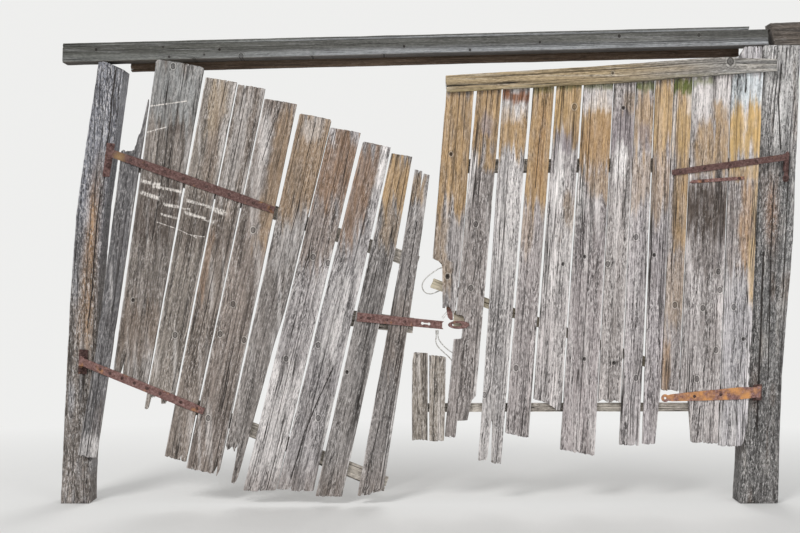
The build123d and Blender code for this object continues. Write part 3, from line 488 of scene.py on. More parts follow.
class Timber:
    """A weathered timber inside a flat CAD solid, meshed in rows along it and columns across it.

    A place is s along the timber, a across it and y through it, and a column is a share of its width.
    A check, which is a drying crack, is (share, s, length, depth, half-width), and a knot is
    (s, a, radius, depth). Broken fibres reach jag, at the foot and at the top.
    """

    def __init__(self, node, seed, pitch, row, reach, edge, relief, checks, jag, knots):
        self.seed, self.edge, self.relief, self.jag = seed, edge, relief, jag
        self.low, self.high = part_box(node)

        # The direction of its longest edge, and its outline along and across that
        corners = outline(node)
        runs = np.roll(corners, -1, axis=0) - corners
        along = runs[int(np.argmax(np.hypot(*runs.T)))]
        along = along / np.hypot(*along)
        if (along[1] if abs(along[1]) > abs(along[0]) else along[0]) < 0:
            along = -along
        self.along, self.across = along, np.array([along[1], -along[0]])
        self.loop = np.stack([corners @ self.along, corners @ self.across], axis=1)
        self.start, self.end = self.loop[:, 0].min(), self.loop[:, 0].max()
        self.levels = np.linspace(self.start + 1e-5, self.end - 1e-5, LEVELS)
        self.left, self.right = edge_lines(self.loop, self.levels, reach)
        self.width = float(np.median(self.right - self.left))
        self.knots = [(x * along[0] + z * along[1], x * self.across[0] + z * self.across[1], radius, deep)
                      for x, z, radius, deep in knots]
        self.cracks, self.scratches = lines_on(corners, CRACKS), lines_on(corners, SCRATCHES)
        self.checks = self.open_checks(checks)
        self.shares = self.columns(pitch)
        self.rows = self.row_places(row)

        # Its two faces and narrow sides, and rings all round it. The back has every second column.
        faces = [self.face(number) for number in range(2)]
        self.kept = sorted({*range(0, len(self.shares), 2), len(self.shares) - 1})
        right_side = self.side(len(self.shares) - 1, faces, seed + 21)
        left_side = self.side(0, faces[::-1], seed + 22)
        self.ring = {key: np.concatenate([faces[0][key], *(line[key][:, None] for line in right_side),
                                          faces[1][key][:, self.kept[::-1]],
                                          *(line[key][:, None] for line in left_side)], axis=1)
                     for key in ("s", "a", "y", "grain", "recess_shade")}
        s, a = self.ring["s"], self.ring["a"]
        self.x = s * self.along[0] + a * self.across[0]
        self.z = s * self.along[1] + a * self.across[1]

    def open_checks(self, count):
        """Checks anywhere along the timber, and more of them that open at its ends."""
        draw = np.random.default_rng(self.seed).uniform
        checks = [(draw(0.07, 0.93), draw(self.start, self.end),
                   draw(0.12, 0.55) * (self.end - self.start), draw(0.0025, 0.006),
                   draw(0.0007, 0.0014)) for _ in range(count)]
        for place in (self.start, self.end):
            checks += [(draw(0.07, 0.93), place, draw(0.08, 0.3), draw(0.004, 0.009),
                        draw(0.0007, 0.0013)) for _ in range(max(2, count // 2))]
        return checks

    def columns(self, pitch):
        """The columns, close together at the rounded edges and at each check."""
        shares = {0.0, 1.0}
        for inset in EDGE_INSETS:
            shares |= {inset / self.width, 1 - inset / self.width}
        apart = []
        for share, _, _, _, half in self.checks:
            if all(abs(share - other) * self.width > CHECK_GAP for other in apart):
                apart.append(share)
                shares |= {share, share - half / self.width, share + half / self.width}
        taken = sorted(shares)
        inset = EVEN_FROM / self.width
        for share in np.linspace(inset, 1 - inset, int(self.width / pitch)):
            if min(abs(share - other) for other in taken) * self.width > pitch * 0.4:
                shares.add(float(share))
        return np.array(sorted(shares))

    def row_places(self, row):
        """The rows, close together at the ends, at the outline's corners, at knots and scratches."""
        start, end = self.start, self.end
        marks = [np.linspace(start, end, max(12, int((end - start) / row)))]
        marks += [start + END_ROWS, end - END_ROWS] + [place + CORNER_ROWS for place in self.loop[:, 0]]
        marks += [s + np.linspace(-2 * radius, 2 * radius, KNOT_ROWS) for s, _, radius, _ in self.knots]
        for _, _, within in self.scratches:
            places = within @ self.along
            marks.append(np.arange(places.min() - 0.010, places.max() + 0.011, SCRATCH_ROW))
        rows = np.sort(np.clip(np.concatenate(marks), start, end))
        rows = rows[np.concatenate([[True], np.diff(rows) > ROW_GAP])]
        rows[-1] = end
        return rows

    def reaches(self):
        """Where each column starts and ends in the outline."""
        inner = np.clip(self.shares, 0.006, 0.994)
        places = self.left[:, None] + (self.right - self.left)[:, None] * inner
        count = np.zeros(places.shape, int)
        for hits in crossings(self.loop, self.levels).T:
            count += np.nan_to_num(hits[:, None], nan=1e9) < places
        inside = count % 2 == 1
        first = self.levels[np.argmax(inside, axis=0)]
        last = self.levels[len(self.levels) - 1 - np.argmax(inside[::-1], axis=0)]
        return first, last

    def worn_ends(self, number):
        """How far each column's foot and top draw back: the outline's own end, then worn fibres and
        checks."""
        first, last = self.reaches()
        across = self.shares * self.width
        seed = self.seed * 17 + number * 5
        worn = [jag * (blotches(across, 9 * end, FIBRE, 1, seed + end)
                       + 0.8 * np.maximum(0, noise(across / 0.02, 3 + 2 * end, seed + end)))
                for end, jag in enumerate(self.jag)]
        for share, place, length, _, _ in self.checks:
            column = int(np.argmin(np.abs(self.shares - share)))
            if place == self.start:
                worn[0][column] += length * 0.12
            elif place == self.end:
                worn[1][column] += length * 0.07
        return first - self.start + worn[0], self.end - last + worn[1]

    def spread(self, foot, top):
        """The rows' places in each column, drawn in near the ends only."""
        rows = self.rows[:, None]
        s = rows
        for worn, from_end, inwards in ((foot, rows - self.start, 1), (top, self.end - rows, -1)):
            zone = np.maximum(0.05, 2.6 * worn)
            s = s + inwards * worn * np.clip(1 - from_end / zone, 0, 1) ** 2
        return s

    def places_across(self, s):
        """The columns' places across the timber, with ragged long edges."""
        left, right = (np.interp(s, self.levels, edge) for edge in (self.left, self.right))
        a = left + (right - left) * self.shares
        for side, share, inwards in ((1, self.shares, 1), (2, 1 - self.shares, -1)):
            ragged = np.abs(noise(s / 0.045, side * 7, self.seed + 3))
            ragged += 2.2 * np.maximum(0, noise(s / 0.17, side * 3, self.seed + 4)) ** 2
            close = np.clip(1 - share * self.width / 0.012, 0, 1)
            a = a + inwards * 0.0009 * self.relief * ragged * close
        return a

    def knotted(self, s, a, grain, deepness):
        """The grain bent round the knots, with how deep and how ringed they make each point."""
        pit = np.zeros_like(a)
        ring = np.zeros_like(a)
        for knot_s, knot_a, radius, deep in self.knots:
            along, across = s - knot_s, a - knot_a
            away = np.hypot(along * 0.8, across)
            bend = np.exp(-(along / (3.2 * radius)) ** 2) * np.exp(-np.abs(across) / (2.2 * radius))
            grain = grain + 1.3 * radius * np.tanh(across / (0.5 * radius)) * bend
            pit = np.maximum(pit, deep * deepness * step(-away, -radius, -radius * 0.45))
            ring = np.maximum(ring, np.exp(-((away - radius * 1.15) / (0.45 * radius)) ** 2))
        return grain, pit, ring

    def face(self, number):
        """The front face (0) or the back face (1), with all that is pressed into it."""
        s = self.spread(*self.worn_ends(number))
        a = self.places_across(s)
        seed = self.seed * 31 + number * 13
        warp = 0.006 * noise(s / 0.45, 0.3, seed) + 0.002 * noise(s / 0.12, 0.8, seed + 1)
        grain, pit, ring = self.knotted(s, a, a + warp, 0.6 if number else 1)
        ridges = (0.0010 * blotches(grain, s, 0.0062, 0.26, seed + 2)
                  + 0.0009 * blotches(grain, s, 0.014, 0.5, seed + 3))
        hollows = (0.0011 * blotches(a, s, 0.06, 0.35, seed + 4)
                   + 0.0018 * np.maximum(0, noise(a / 0.03, s / 0.10, seed + 5)) ** 2)
        press = self.relief * (ridges + hollows) + 0.0009 * self.relief * ring + pit
        # Painted shade in the deepest grain grooves, in knot holes and in checks
        recess_shade = 0.30 * step(ridges * 1000, 1.35, 1.8) + np.clip(pit / 0.004, 0, 1)
        for share, place, length, deep, _ in self.checks:
            if number and deep < DEEP_CHECK:
                continue
            column = int(np.argmin(np.abs(self.shares - share)))
            fade = step(-np.abs(s[:, column] - place), -length, -length * 0.35)
            press[:, column] += deep * fade
            recess_shade[:, column] = np.maximum(recess_shade[:, column], fade)

        # Long edges worn round, and ends worn a little thinner
        from_edge = np.minimum(self.shares, 1 - self.shares) * self.width
        wear = self.edge * (0.65 + 0.5 * noise(s / 0.09, 0.5, seed + 6))
        share = np.clip(1 - from_edge / np.maximum(wear, 0.0006), 0, 1)
        press += wear * (1 - np.sqrt(np.maximum(0, 1 - share ** 2)))
        from_end = np.minimum(self.rows - self.start, self.end - self.rows)[:, None]
        press += 0.0022 * np.clip(1 - from_end / 0.006, 0, 1) ** 2
        press = np.minimum(press, (self.high[1] - self.low[1]) * MOST_PRESSED)
        y = self.high[1] - press if number else self.low[1] + press
        return {"s": s, "a": a, "y": y, "grain": grain, "recess_shade": recess_shade}

    def side(self, column, faces, seed):
        """Two lines of points along a narrow side, from the first of two faces to the other."""
        lines = []
        for share in (0.33, 0.67):
            s, a, y = (faces[0][key][:, column] * (1 - share) + faces[1][key][:, column] * share
                       for key in ("s", "a", "y"))
            rough = 0.0003 * self.relief * (1 + noise(s / 0.06, share * 9, seed))
            a = a - rough if column else a + rough
            # The narrow sides, in the gaps between boards, get a share of painted shade
            lines.append({"s": s, "a": a, "y": y, "grain": a + (y - self.low[1]),
                          "recess_shade": 0.25 + 0.3 * np.maximum(0, noise(s / 0.05, share * 5, self.seed + 9))})
        return lines

    def mesh(self, name):
        """The closed mesh: each row is a ring of points, and lids close the two ends."""
        rows, around = self.x.shape
        index = np.arange(rows * around).reshape(rows, around)
        ahead = np.roll(index, -1, axis=1)
        quads = np.stack([index[:-1], ahead[:-1], ahead[1:], index[1:]], axis=-1).reshape(-1, 4)
        columns = len(self.shares)
        back = {column: columns + 1 + len(self.kept) - k for k, column in enumerate(self.kept)}
        lids = [[*range(a, b + 1), back[b], back[a]] for a, b in zip(self.kept, self.kept[1:])]
        lids += [list(range(columns - 1, columns + 3)), [around - 3, around - 2, around - 1, 0]]
        polygons = quads.tolist()
        polygons += [index[0, lid[::-1]].tolist() for lid in lids]
        polygons += [index[-1, lid].tolist() for lid in lids]
        points = np.stack([self.x, self.ring["y"], self.z], axis=-1).reshape(-1, 3)
        return new_mesh(name, points.tolist(), polygons)

    def colour(self, mesh, paint, knots, rear):
        """Gives a mesh what wood_material reads from it."""
        x, z, s = self.x, self.z, self.ring["s"]
        share = (self.ring["a"] - np.interp(s, self.levels, self.left)) / self.width
        tint = paint(x, z, share, self.seed)
        crack, cracked = line_distances(x, z, self.cracks, 0, 1)
        scratch, scratched = line_distances(z, x, self.scratches, 1, 0)
        knot = np.full(x.shape, FAR)
        for knot_x, knot_z, radius, _ in knots:
            knot = np.minimum(knot, np.hypot(x - knot_x, (z - knot_z) * 0.8) / radius)
        if rear is not None:
            behind = step((self.ring["y"] - self.low[1]) / (self.high[1] - self.low[1]), 0.45, 0.75)
            plain = shaded(np.broadcast_to(np.array(rear), tint.shape),
                           0.7 + 0.6 * blotches(x, z, 0.04, 0.45, self.seed + 90))
            tint = mix(tint, plain, behind)
            cracked, scratched = cracked * (1 - behind), scratched * (1 - behind)
        layer = np.full_like(s, self.seed * 3.7)
        for name, kind, field, values in (
                ("recess_shade", "FLOAT", "value", np.clip(self.ring["recess_shade"], 0, 1)),
                ("tint", "FLOAT_COLOR", "color", np.clip(tint, 0.01, 1)),
                ("grain", "FLOAT_VECTOR", "vector", np.stack([self.ring["grain"], s, layer], axis=-1)),
                ("strokes", "FLOAT_VECTOR", "vector", np.stack([crack, scratch, knot], axis=-1)),
                ("drawn", "FLOAT_VECTOR", "vector", np.stack([cracked, scratched, 0 * knot], axis=-1))):
            data = mesh.attributes.new(name, kind, "POINT").data
            data.foreach_set(field, np.ascontiguousarray(values, np.float32).ravel())


def timber(node, paint, seed, material=BOARD_WOOD, pitch=BOARD_PITCH, row=BOARD_ROW, reach=0.03, edge=0.0035,
           relief=1.0, checks=6, jag=(0.006, 0.0015), knots=(), rear=None):
    """Shows a timber. Where there is a rear colour, it takes the place of the paint behind, and no
    drawn crack or scratch shows there."""
    wood = Timber(node, seed, pitch, row, reach, edge, relief, checks, jag, knots)
    mesh = wood.mesh(node + "_wood")
    wood.colour(mesh, paint, knots, rear)
    show(mesh, material, node)


# Colours of the timbers, as light that they reflect, each with how bleached and rough it is
WHITE = (0.78, 0.74, 0.72, 0.6)
BLUE_WHITE = (0.60, 0.64, 0.66, 0.8)
SMOOTH_GREY = (0.27, 0.27, 0.265, 0.55)
PURPLE_GREY = (0.29, 0.25, 0.265, 0.4)
OCHRE = (0.43, 0.288, 0.155, 0.4)
TAN = (0.60, 0.405, 0.185, 0.12)
ORANGE = (0.42, 0.25, 0.12, 0.45)
DULL_OCHRE = (0.31, 0.222, 0.150, 0.6)
DULL_ORANGE = (0.27, 0.178, 0.122, 0.55)
RED_BROWN = (0.24, 0.11, 0.06, 0.3)
BROWN = (0.20, 0.14, 0.10, 0.6)
# Painted shade: dark brown patches, most of them just below the iron straps
PAINTED_SHADE = (0.095, 0.074, 0.062, 0.5)
MOSS = (0.135, 0.155, 0.045, 0.4)
REAR = (0.235, 0.200, 0.168, 0.75)


def grey(tone, warmth):
    return np.array([tone * (1 + warmth), tone, tone * (1 - 0.7 * warmth), 1.0])


def shaded(colour, share):
    """A colour made lighter or darker by a share for each point, as rough as before."""
    return colour * np.stack([share, share, share, np.ones_like(share)], axis=-1)


def board_paint(tone, stains_and_shade=()):
    """A board's paint: its weathered grey, then each stain or patch of painted shade: (colour, strength,
    lowest z, highest z, and where it starts and ends across the board, if it isn't as wide)."""
    own = np.array([*tone, min(1.0, 0.45 + 1.4 * tone[1])])
    deep = own * [0.5, 0.48, 0.46, 0.9]

    def paint(x, z, share, seed):
        colour = shaded(np.broadcast_to(own, (*x.shape, 4)), 0.78 + 0.44 * blotches(x, z, 0.045, 0.5, seed))
        colour = mix(colour, deep, 0.5 * step(blotches(x, z, 0.028, 0.25, seed + 1), 0.6, 0.95))
        colour = mix(colour, WHITE, 0.40 * step(blotches(x, z, 0.022, 0.4, seed + 2), 0.6, 1.0))
        rim = np.maximum(step(-share, -0.05, -0.01), step(share, 0.955, 0.99))
        colour = mix(colour, WHITE, 0.65 * rim * blotches(x, z, 0.3, 0.13, seed + 5))
        # Stains, and the dark patches of painted shade below the straps
        for number, (stain, strength, low, high, *sides) in enumerate(stains_and_shade):
            soft = min(1.0, (high - low) / 0.35)
            flame = z + soft * (0.10 * noise(x / 0.013, z / 0.4, seed + number)
                                + 0.05 * noise(x / 0.005, z / 0.12, seed + 50))
            covered = (step(flame, low - 0.06 * soft, low + 0.06 * soft)
                       * step(-flame, -high - 0.06 * soft, -high + 0.06 * soft))
            if sides:
                place = (share + 0.10 * noise(z / 0.11, x / 0.05, seed + 60)
                         + 0.05 * noise(z / 0.03, x, seed + 61))
                covered = (covered * step(place, sides[0] - 0.09, sides[0] + 0.09)
                           * step(-place, -sides[1] - 0.09, -sides[1] + 0.09))
            thin = 0.75 + 0.5 * blotches(x, z, 0.012, 0.06, seed + 70)
            colour = mix(colour, stain, np.minimum(1.0, strength * covered * thin))
        foot = step(-z, -0.30, -0.06) * (0.25 + 0.5 * blotches(x, z, 0.02, 0.08, seed + 6))
        return mix(colour, BROWN, foot * 0.6)
    return paint


def left_post_paint(x, z, share, seed):
    """Bluish grey with an ochre strip beside its long crack."""
    colour = mix(grey(0.200, 0.16), (0.212, 0.215, 0.240, 1.0), step(z, 0.9, 1.7))
    colour = shaded(colour, 0.68 + 0.64 * blotches(x, z, 0.035, 0.3, seed))
    strip = np.exp(-((share - 0.60) / 0.22) ** 2) * step(z, 0.65, 1.05) * step(-z, -2.05, -1.6)
    strip *= 0.35 + 0.65 * blotches(x, z, 0.025, 0.25, seed + 1)
    colour = mix(colour, (0.40, 0.23, 0.105, 0.6), 0.85 * strip)
    return mix(colour, (0.50, 0.50, 0.53, 1.0), 0.5 * step(blotches(x, z, 0.022, 0.2, seed + 2), 0.6, 1))


def right_post_paint(x, z, share, seed):
    """Pale grey at its head, browner and darker towards the ground."""
    colour = mix(grey(0.165, 0.04), grey(0.225, 0.02), step(z, 0.5, 1.5))
    colour = mix(colour, grey(0.61, 0.03), step(z, 1.80, 2.2))
    colour = shaded(colour, 0.66 + 0.66 * blotches(x, z, 0.04, 0.35, seed))
    colour = mix(colour, (0.52, 0.49, 0.46, 1.0), 0.5 * step(blotches(x, z, 0.022, 0.22, seed + 1), 0.66, 1))
    colour = mix(colour, (0.24, 0.14, 0.08, 0.6), 0.35 * step(blotches(x, z, 0.03, 0.3, seed + 2), 0.7, 1))
    stain = np.exp(-((x - 1.885) / 0.035) ** 2 - ((z - 1.62) / 0.20) ** 2)
    return mix(colour, (0.36, 0.17, 0.07, 0.6), 0.6 * stain)


def lintel_paint(x, z, share, seed):
    """Dark greenish grey at the top, paler and bluish towards its foot."""
    foot = mix((0.165, 0.168, 0.157, 0.4), (0.285, 0.292, 0.300, 0.4), step(x, -1.5, -0.3))
    colour = mix((0.082, 0.082, 0.073, 0.4), (0.110, 0.109, 0.100, 0.4), step(x, -1.5, -0.3))
    colour = mix(colour, foot, step(share, 0.40, 0.85))
    colour = shaded(colour, 0.80 + 0.40 * blotches(z, x, 0.014, 0.5, seed))
    colour = mix(colour, (0.30, 0.30, 0.30, 0.6), 0.35 * step(blotches(z, x, 0.008, 0.25, seed + 1), 0.7, 1))
    return mix(colour, (0.10, 0.075, 0.058, 0.3), step(share, 0.93, 1.0) * 0.6)


def beam_paint(x, z, share, seed):
    """Brown and grey streaks."""
    colour = mix((0.075, 0.066, 0.058, 0.5), (0.15, 0.125, 0.105, 0.6), blotches(z, x, 0.02, 0.2, seed))
    return mix(colour, (0.26, 0.245, 0.225, 0.8), 0.6 * step(blotches(z, x, 0.012, 0.15, seed + 1), 0.62, 1))


def batten_paint(x, z, share, seed):
    """Ochre at the left, grey at the right, greenish along its foot."""
    colour = mix((0.36, 0.275, 0.165, 0.35), (0.29, 0.28, 0.265, 0.6),
                 step(x + 0.25 * noise(x / 0.4, z / 0.03, seed), 0.8, 1.6))
    colour = shaded(colour, 0.78 + 0.44 * blotches(z, x, 0.016, 0.3, seed + 1))
    colour = mix(colour, (0.58, 0.53, 0.46, 0.8), 0.5 * step(blotches(z, x, 0.010, 0.25, seed + 2), 0.6, 1))
    green = step(share, 0.78, 0.97) * blotches(x, z, 0.2, 0.1, seed + 3)
    return mix(colour, (0.24, 0.22, 0.08, 0.4), 0.5 * green)


def blotched_paint(first, second, across, along):
    """Two colours in blotches of these sizes."""
    def paint(x, z, share, seed):
        return mix(first, second, blotches(x, z, across, along, seed))
    return paint


# Old brown wood that the weather hardly reaches, darkened further with painted shade under the lintel, the
# ledges' pale grey-brown, and the paler brace's
SHELTERED_AND_SHADE_PAINT = blotched_paint((0.105, 0.070, 0.048, 0.4), (0.16, 0.115, 0.082, 0.4), 0.2, 0.03)
LEDGE_PAINT = blotched_paint((0.34, 0.30, 0.26, 0.6), (0.60, 0.55, 0.48, 0.6), 0.3, 0.04)
PALE_PAINT = blotched_paint((0.56, 0.50, 0.37, 0.3), (0.43, 0.37, 0.29, 0.3), 0.05, 0.05)


# Rubbed white marks across the grain: half-width, then (x, z) points
SCRATCHES = [
    (0.0035, (-1.546, 2.194), (-1.343, 2.222)), (0.0035, (-1.563, 2.051), (-1.458, 2.079)),
    (0.0026, (-1.508, 1.556), (-1.409, 1.523), (-1.288, 1.468)),
    (0.0022, (-1.348, 1.490), (-1.244, 1.474)), (0.01, (-1.596, 1.782), (-1.491, 1.760)),
    (0.012, (-1.601, 1.721), (-1.491, 1.683)), (0.008, (-1.535, 1.754), (-1.359, 1.721)),
    (0.009, (-1.475, 1.655), (-1.326, 1.628)), (0.01, (-1.348, 1.677), (-1.128, 1.611)),
    (0.01, (-1.359, 1.611), (-1.194, 1.556)), (0.007, (-1.491, 1.600), (-1.381, 1.573)),
    (0.012, (-1.238, 1.639), (-1.139, 1.600))]

# Cracks along the grain: half-width, then (x, z) points
CRACKS = [
    (0.00272, (-1.447, 2.079), (-1.469, 1.864), (-1.491, 1.732), (-1.535, 1.458)),
    (0.00272, (-1.678, 0.841), (-1.700, 0.742)),
    (0.00374, (-0.540, 0.753), (-0.622, 0.578), (-0.694, 0.401), (-0.771, 0.148)),
    (0.00204, (-0.837, 2.183), (-0.930, 1.897)), (0.00204, (-0.633, 2.117), (-0.688, 1.897)),
    (0.00272, (-0.078, 1.562), (-0.144, 1.127), (-0.182, 0.880)),
    (0.00204, (0.604, 2.090), (0.571, 1.732)), (0.00476, (1.737, 2.359), (1.729, 2.272)),
    (0.00238, (-0.853, 0.275), (-0.908, 0.071)), (0.00204, (-0.281, 0.467), (-0.358, 0.137)),
    (0.00204, (1.071, 0.467), (1.060, 0.330)), (0.00204, (1.478, 0.550), (1.462, 0.357)),
    (0.0017, (-0.501, 1.402), (-0.600, 1.127)),
    (0.0051, (-1.740, 2.415), (-1.754, 2.321), (-1.766, 2.244), (-1.775, 2.111), (-1.797, 1.956)),
    (0.00408, (-1.825, 1.746), (-1.853, 1.514), (-1.875, 1.182), (-1.902, 0.961)),
    (0.00442, (1.941, 2.443), (1.924, 2.232), (1.935, 1.956)),
    (0.0034, (1.985, 1.956), (1.963, 1.514), (1.946, 1.126)),
    (0.00595, (1.841, 1.403), (1.825, 0.961), (1.803, 0.408)),
    (0.0034, (1.897, 1.790), (1.880, 1.348), (1.864, 0.684))]

# Nail holes and flat knots of the boards, as (x, z)
HOLES = [
    (-1.640, 1.127), (-0.463, 0.731), (0.109, 1.930), (0.845, 1.366), (0.843, 0.803), (1.005, 0.781),
    (0.725, 1.325), (1.058, 2.185), (1.718, 0.913), (0.783, 0.341), (1.228, 1.375)]
FLAT_KNOTS = [
    (-0.798, 0.805), (-0.622, 0.478), (-1.090, 1.105), (-0.980, 1.512), (-1.227, 0.478), (0.246, 1.545),
    (1.127, 1.474), (1.462, 0.693), (1.495, 1.083), (1.665, 1.089), (1.567, 0.852), (1.127, 0.699),
    (-0.650, 1.364), (-1.409, 0.935), (-1.161, 0.940), (-1.029, 0.907), (-0.567, 1.331), (-0.622, 0.880),
    (-1.420, 2.414), (0.219, 1.194), (0.293, 0.605), (0.467, 0.753), (0.972, 1.325), (1.341, 1.100),
    (1.581, 1.284), (1.589, 1.182), (0.788, 2.191)]

# All of them: x, z, radius, depth
KNOTS = [(x, z, 0.0085, 0.008) for x, z in HOLES]
KNOTS += [(0.090, 1.257, 0.011, 0.010)]
KNOTS += [(x, z, 0.0115, 0.0015) for x, z in FLAT_KNOTS]


def knots_in(node):
    """The knots that lie on a piece, by its outline."""
    corners = outline(node)
    return [knot for knot in KNOTS if lies_on(corners, *knot[:2])]


# Each board's own grey and its stain list; the dark patches in it, most of them just below the straps, are
# painted shade
LEFT_LEAF = [
    # Boards 1 to 4 carry dark patches of painted shade, most of them below the straps
    ((0.155, 0.148, 0.150), [(WHITE, 0.6, 0.24, 0.37), (PAINTED_SHADE, 0.4, 0.38, 0.55, 0.5, 1)]),
    ((0.205, 0.178, 0.158), [
        (SMOOTH_GREY, 0.85, 2.11, 2.47), (PAINTED_SHADE, 0.65, 2.04, 2.10, 0.4, 0.95), (PAINTED_SHADE, 0.7, 1.45, 1.77),
        (BROWN, 0.4, 0.80, 1.13)]),
    ((0.275, 0.240, 0.210), [
        (TAN, 0.22, 2.06, 2.35, 0.3, 0.85), (BROWN, 0.45, 1.68, 2.17, 0.5, 0.9), (PAINTED_SHADE, 0.6, 1.40, 1.70)]),
    ((0.260, 0.218, 0.188), [
        (WHITE, 0.35, 1.68, 2.27, 0.1, 0.7), (PAINTED_SHADE, 0.5, 1.40, 1.60),
        (DULL_ORANGE, 0.7, 1.17, 1.48, 0, 0.3)]),
    ((0.260, 0.218, 0.192), [(DULL_OCHRE, 0.9, 1.43, 2.18, 0.58, 1.2), (WHITE, 0.3, 1.73, 2.17, 0.1, 0.5)]),
    ((0.245, 0.220, 0.205), [
        (DULL_OCHRE, 0.95, 1.59, 2.13), (WHITE, 0.35, 2.01, 2.14, 0.25, 0.85),
        (WHITE, 0.22, 1.29, 1.59, 0.2, 0.9)]),
    ((0.400, 0.370, 0.365), [
        (DULL_ORANGE, 0.95, 1.64, 2.07), (BROWN, 0.55, 1.34, 1.64), (WHITE, 0.5, 0.19, 0.71)]),
    ((0.335, 0.312, 0.310), [
        (DULL_ORANGE, 0.85, 1.45, 1.96, -1, 0.62), (WHITE, 0.75, 1.74, 1.95, 0.6, 2),
        (WHITE, 0.4, 0.80, 1.29, 0.2, 0.8)]),
    ((0.255, 0.235, 0.225), [(OCHRE, 0.9, 1.64, 1.92), (OCHRE, 0.35, 1.43, 1.64, 0.2, 0.9)]),
    ((0.260, 0.238, 0.228), [(OCHRE, 0.55, 1.67, 1.80, -1, 0.6), (BROWN, 0.3, 0.69, 1.13)]),
]
RIGHT_LEAF = [
    ((0.335, 0.308, 0.300), [(OCHRE, 0.9, 1.65, 2.34), (OCHRE, 0.4, 1.13, 1.65, -1, 0.5)]),
    ((0.320, 0.285, 0.270), [
        (OCHRE, 0.9, 1.94, 2.34), (OCHRE, 0.8, 1.84, 1.95, 0.5, 2),
        (PURPLE_GREY, 0.7, 2.01, 2.14, 0.35, 0.7), (WHITE, 0.8, 1.68, 1.95, -1, 0.2)]),
    ((0.480, 0.450, 0.440), [
        (OCHRE, 0.95, 1.93, 2.16), (RED_BROWN, 0.95, 2.22, 2.28), (WHITE, 0.35, 2.12, 2.22),
        (WHITE, 0.5, 1.34, 1.76, 0.2, 0.8)]),
    ((0.410, 0.368, 0.360), [
        (OCHRE, 0.95, 1.68, 2.34), (ORANGE, 0.45, 1.73, 2.17, 0.35, 0.75),
        (OCHRE, 0.35, 1.40, 1.68, -1, 0.5), (MOSS, 0.5, 2.27, 2.32)]),
    ((0.480, 0.440, 0.430), [
        (OCHRE, 0.95, 2.04, 2.34), (TAN, 0.35, 2.10, 2.34), (PURPLE_GREY, 0.7, 1.94, 2.06, 0.05, 0.7),
        (OCHRE, 0.8, 1.97, 2.06, 0.7, 2), (WHITE, 0.95, 1.59, 1.92, 0.1, 0.5),
        (OCHRE, 0.4, 1.50, 1.70, 0.55, 1), (WHITE, 0.4, 1.13, 1.59), (MOSS, 0.7, 2.29, 2.34)]),
    ((0.395, 0.352, 0.348), [
        (OCHRE, 0.95, 1.81, 2.21), (ORANGE, 0.35, 1.86, 2.10), (OCHRE, 0.6, 1.68, 1.82, 0.4, 2),
        (WHITE, 0.6, 2.17, 2.32, 0.1, 0.9), (WHITE, 0.85, 1.59, 1.85, -1, 0.28),
        (WHITE, 0.35, 1.34, 1.70, 0.35, 0.6), (MOSS, 0.7, 2.29, 2.34)]),
    ((0.480, 0.435, 0.418), [
        (PURPLE_GREY, 0.65, 1.94, 2.18), (OCHRE, 0.4, 2.16, 2.27, 0.5, 2),
        (WHITE, 0.95, 1.78, 1.98, 0.2, 0.75)]),
    ((0.430, 0.395, 0.395), [
        (OCHRE, 0.7, 1.94, 2.26), (OCHRE, 0.4, 1.68, 1.94), (PURPLE_GREY, 0.5, 1.94, 2.08, 0.2, 0.8),
        (MOSS, 0.8, 2.28, 2.33)]),
    ((0.445, 0.405, 0.410), [
        (TAN, 0.75, 1.95, 2.34), (OCHRE, 0.45, 1.95, 2.34), (OCHRE, 0.55, 1.59, 1.95)]),
    ((0.420, 0.380, 0.370), [
        (OCHRE, 0.8, 1.40, 2.32, 0.22, 2), (TAN, 0.5, 1.95, 2.28), (WHITE, 0.6, 2.01, 2.28, -1, 0.2),
        (WHITE, 0.5, 2.15, 2.28, 0.7, 2), (OCHRE, 0.35, 1.02, 1.40), (MOSS, 0.98, 2.27, 2.35),
        (ORANGE, 0.6, 0.61, 0.91, -1, 0.4)]),
    # Board 11 carries dark patches of painted shade below the patch strap
    ((0.440, 0.402, 0.392), [
        (WHITE, 0.45, 2.14, 2.32), (OCHRE, 0.75, 1.83, 2.09, 0.1, 1), (OCHRE, 0.8, 2.10, 2.21, 0.5, 0.9),
        (MOSS, 0.6, 2.31, 2.35, -1, 0.5), (PAINTED_SHADE, 0.95, 1.46, 1.77), (PAINTED_SHADE, 0.55, 1.28, 1.50, 0.1, 0.9)]),
    ((0.520, 0.495, 0.505), [
        (BLUE_WHITE, 0.95, 2.19, 2.37), (TAN, 1, 1.90, 2.20), (TAN, 0.7, 1.79, 1.88),
        (BROWN, 0.5, 1.30, 1.80, -1, 0.5), (ORANGE, 0.7, 1.30, 1.81, 0.45, 0.85),
        (TAN, 0.7, 1.13, 1.82, 0.82, 2), (WHITE, 0.9, 1.95, 2.25, 0.42, 0.47)]),
]

for number, (tone, stains_and_shade) in enumerate(LEFT_LEAF, 1):
    name = f"left_board_{number}"
    timber(name, board_paint(tone, stains_and_shade), number, knots=knots_in(name), rear=REAR,
           jag=(0.010 if number < 4 else 0.006, 0.008 if number == 1 else 0.0015))
for number, (tone, stains_and_shade) in enumerate(RIGHT_LEAF, 1):
    name = f"right_board_{number}"
    timber(name, board_paint(tone, stains_and_shade), 20 + number, knots=knots_in(name), rear=REAR,
           reach=0.2 if number == 2 else 0.03, jag=(0.012 if number < 4 else 0.007, 0.0015))
for number in (1, 2):
    timber(f"right_stub_{number}", board_paint((0.33, 0.29, 0.25)), 40 + number, checks=3,
           jag=(0.007, 0.004), rear=REAR)

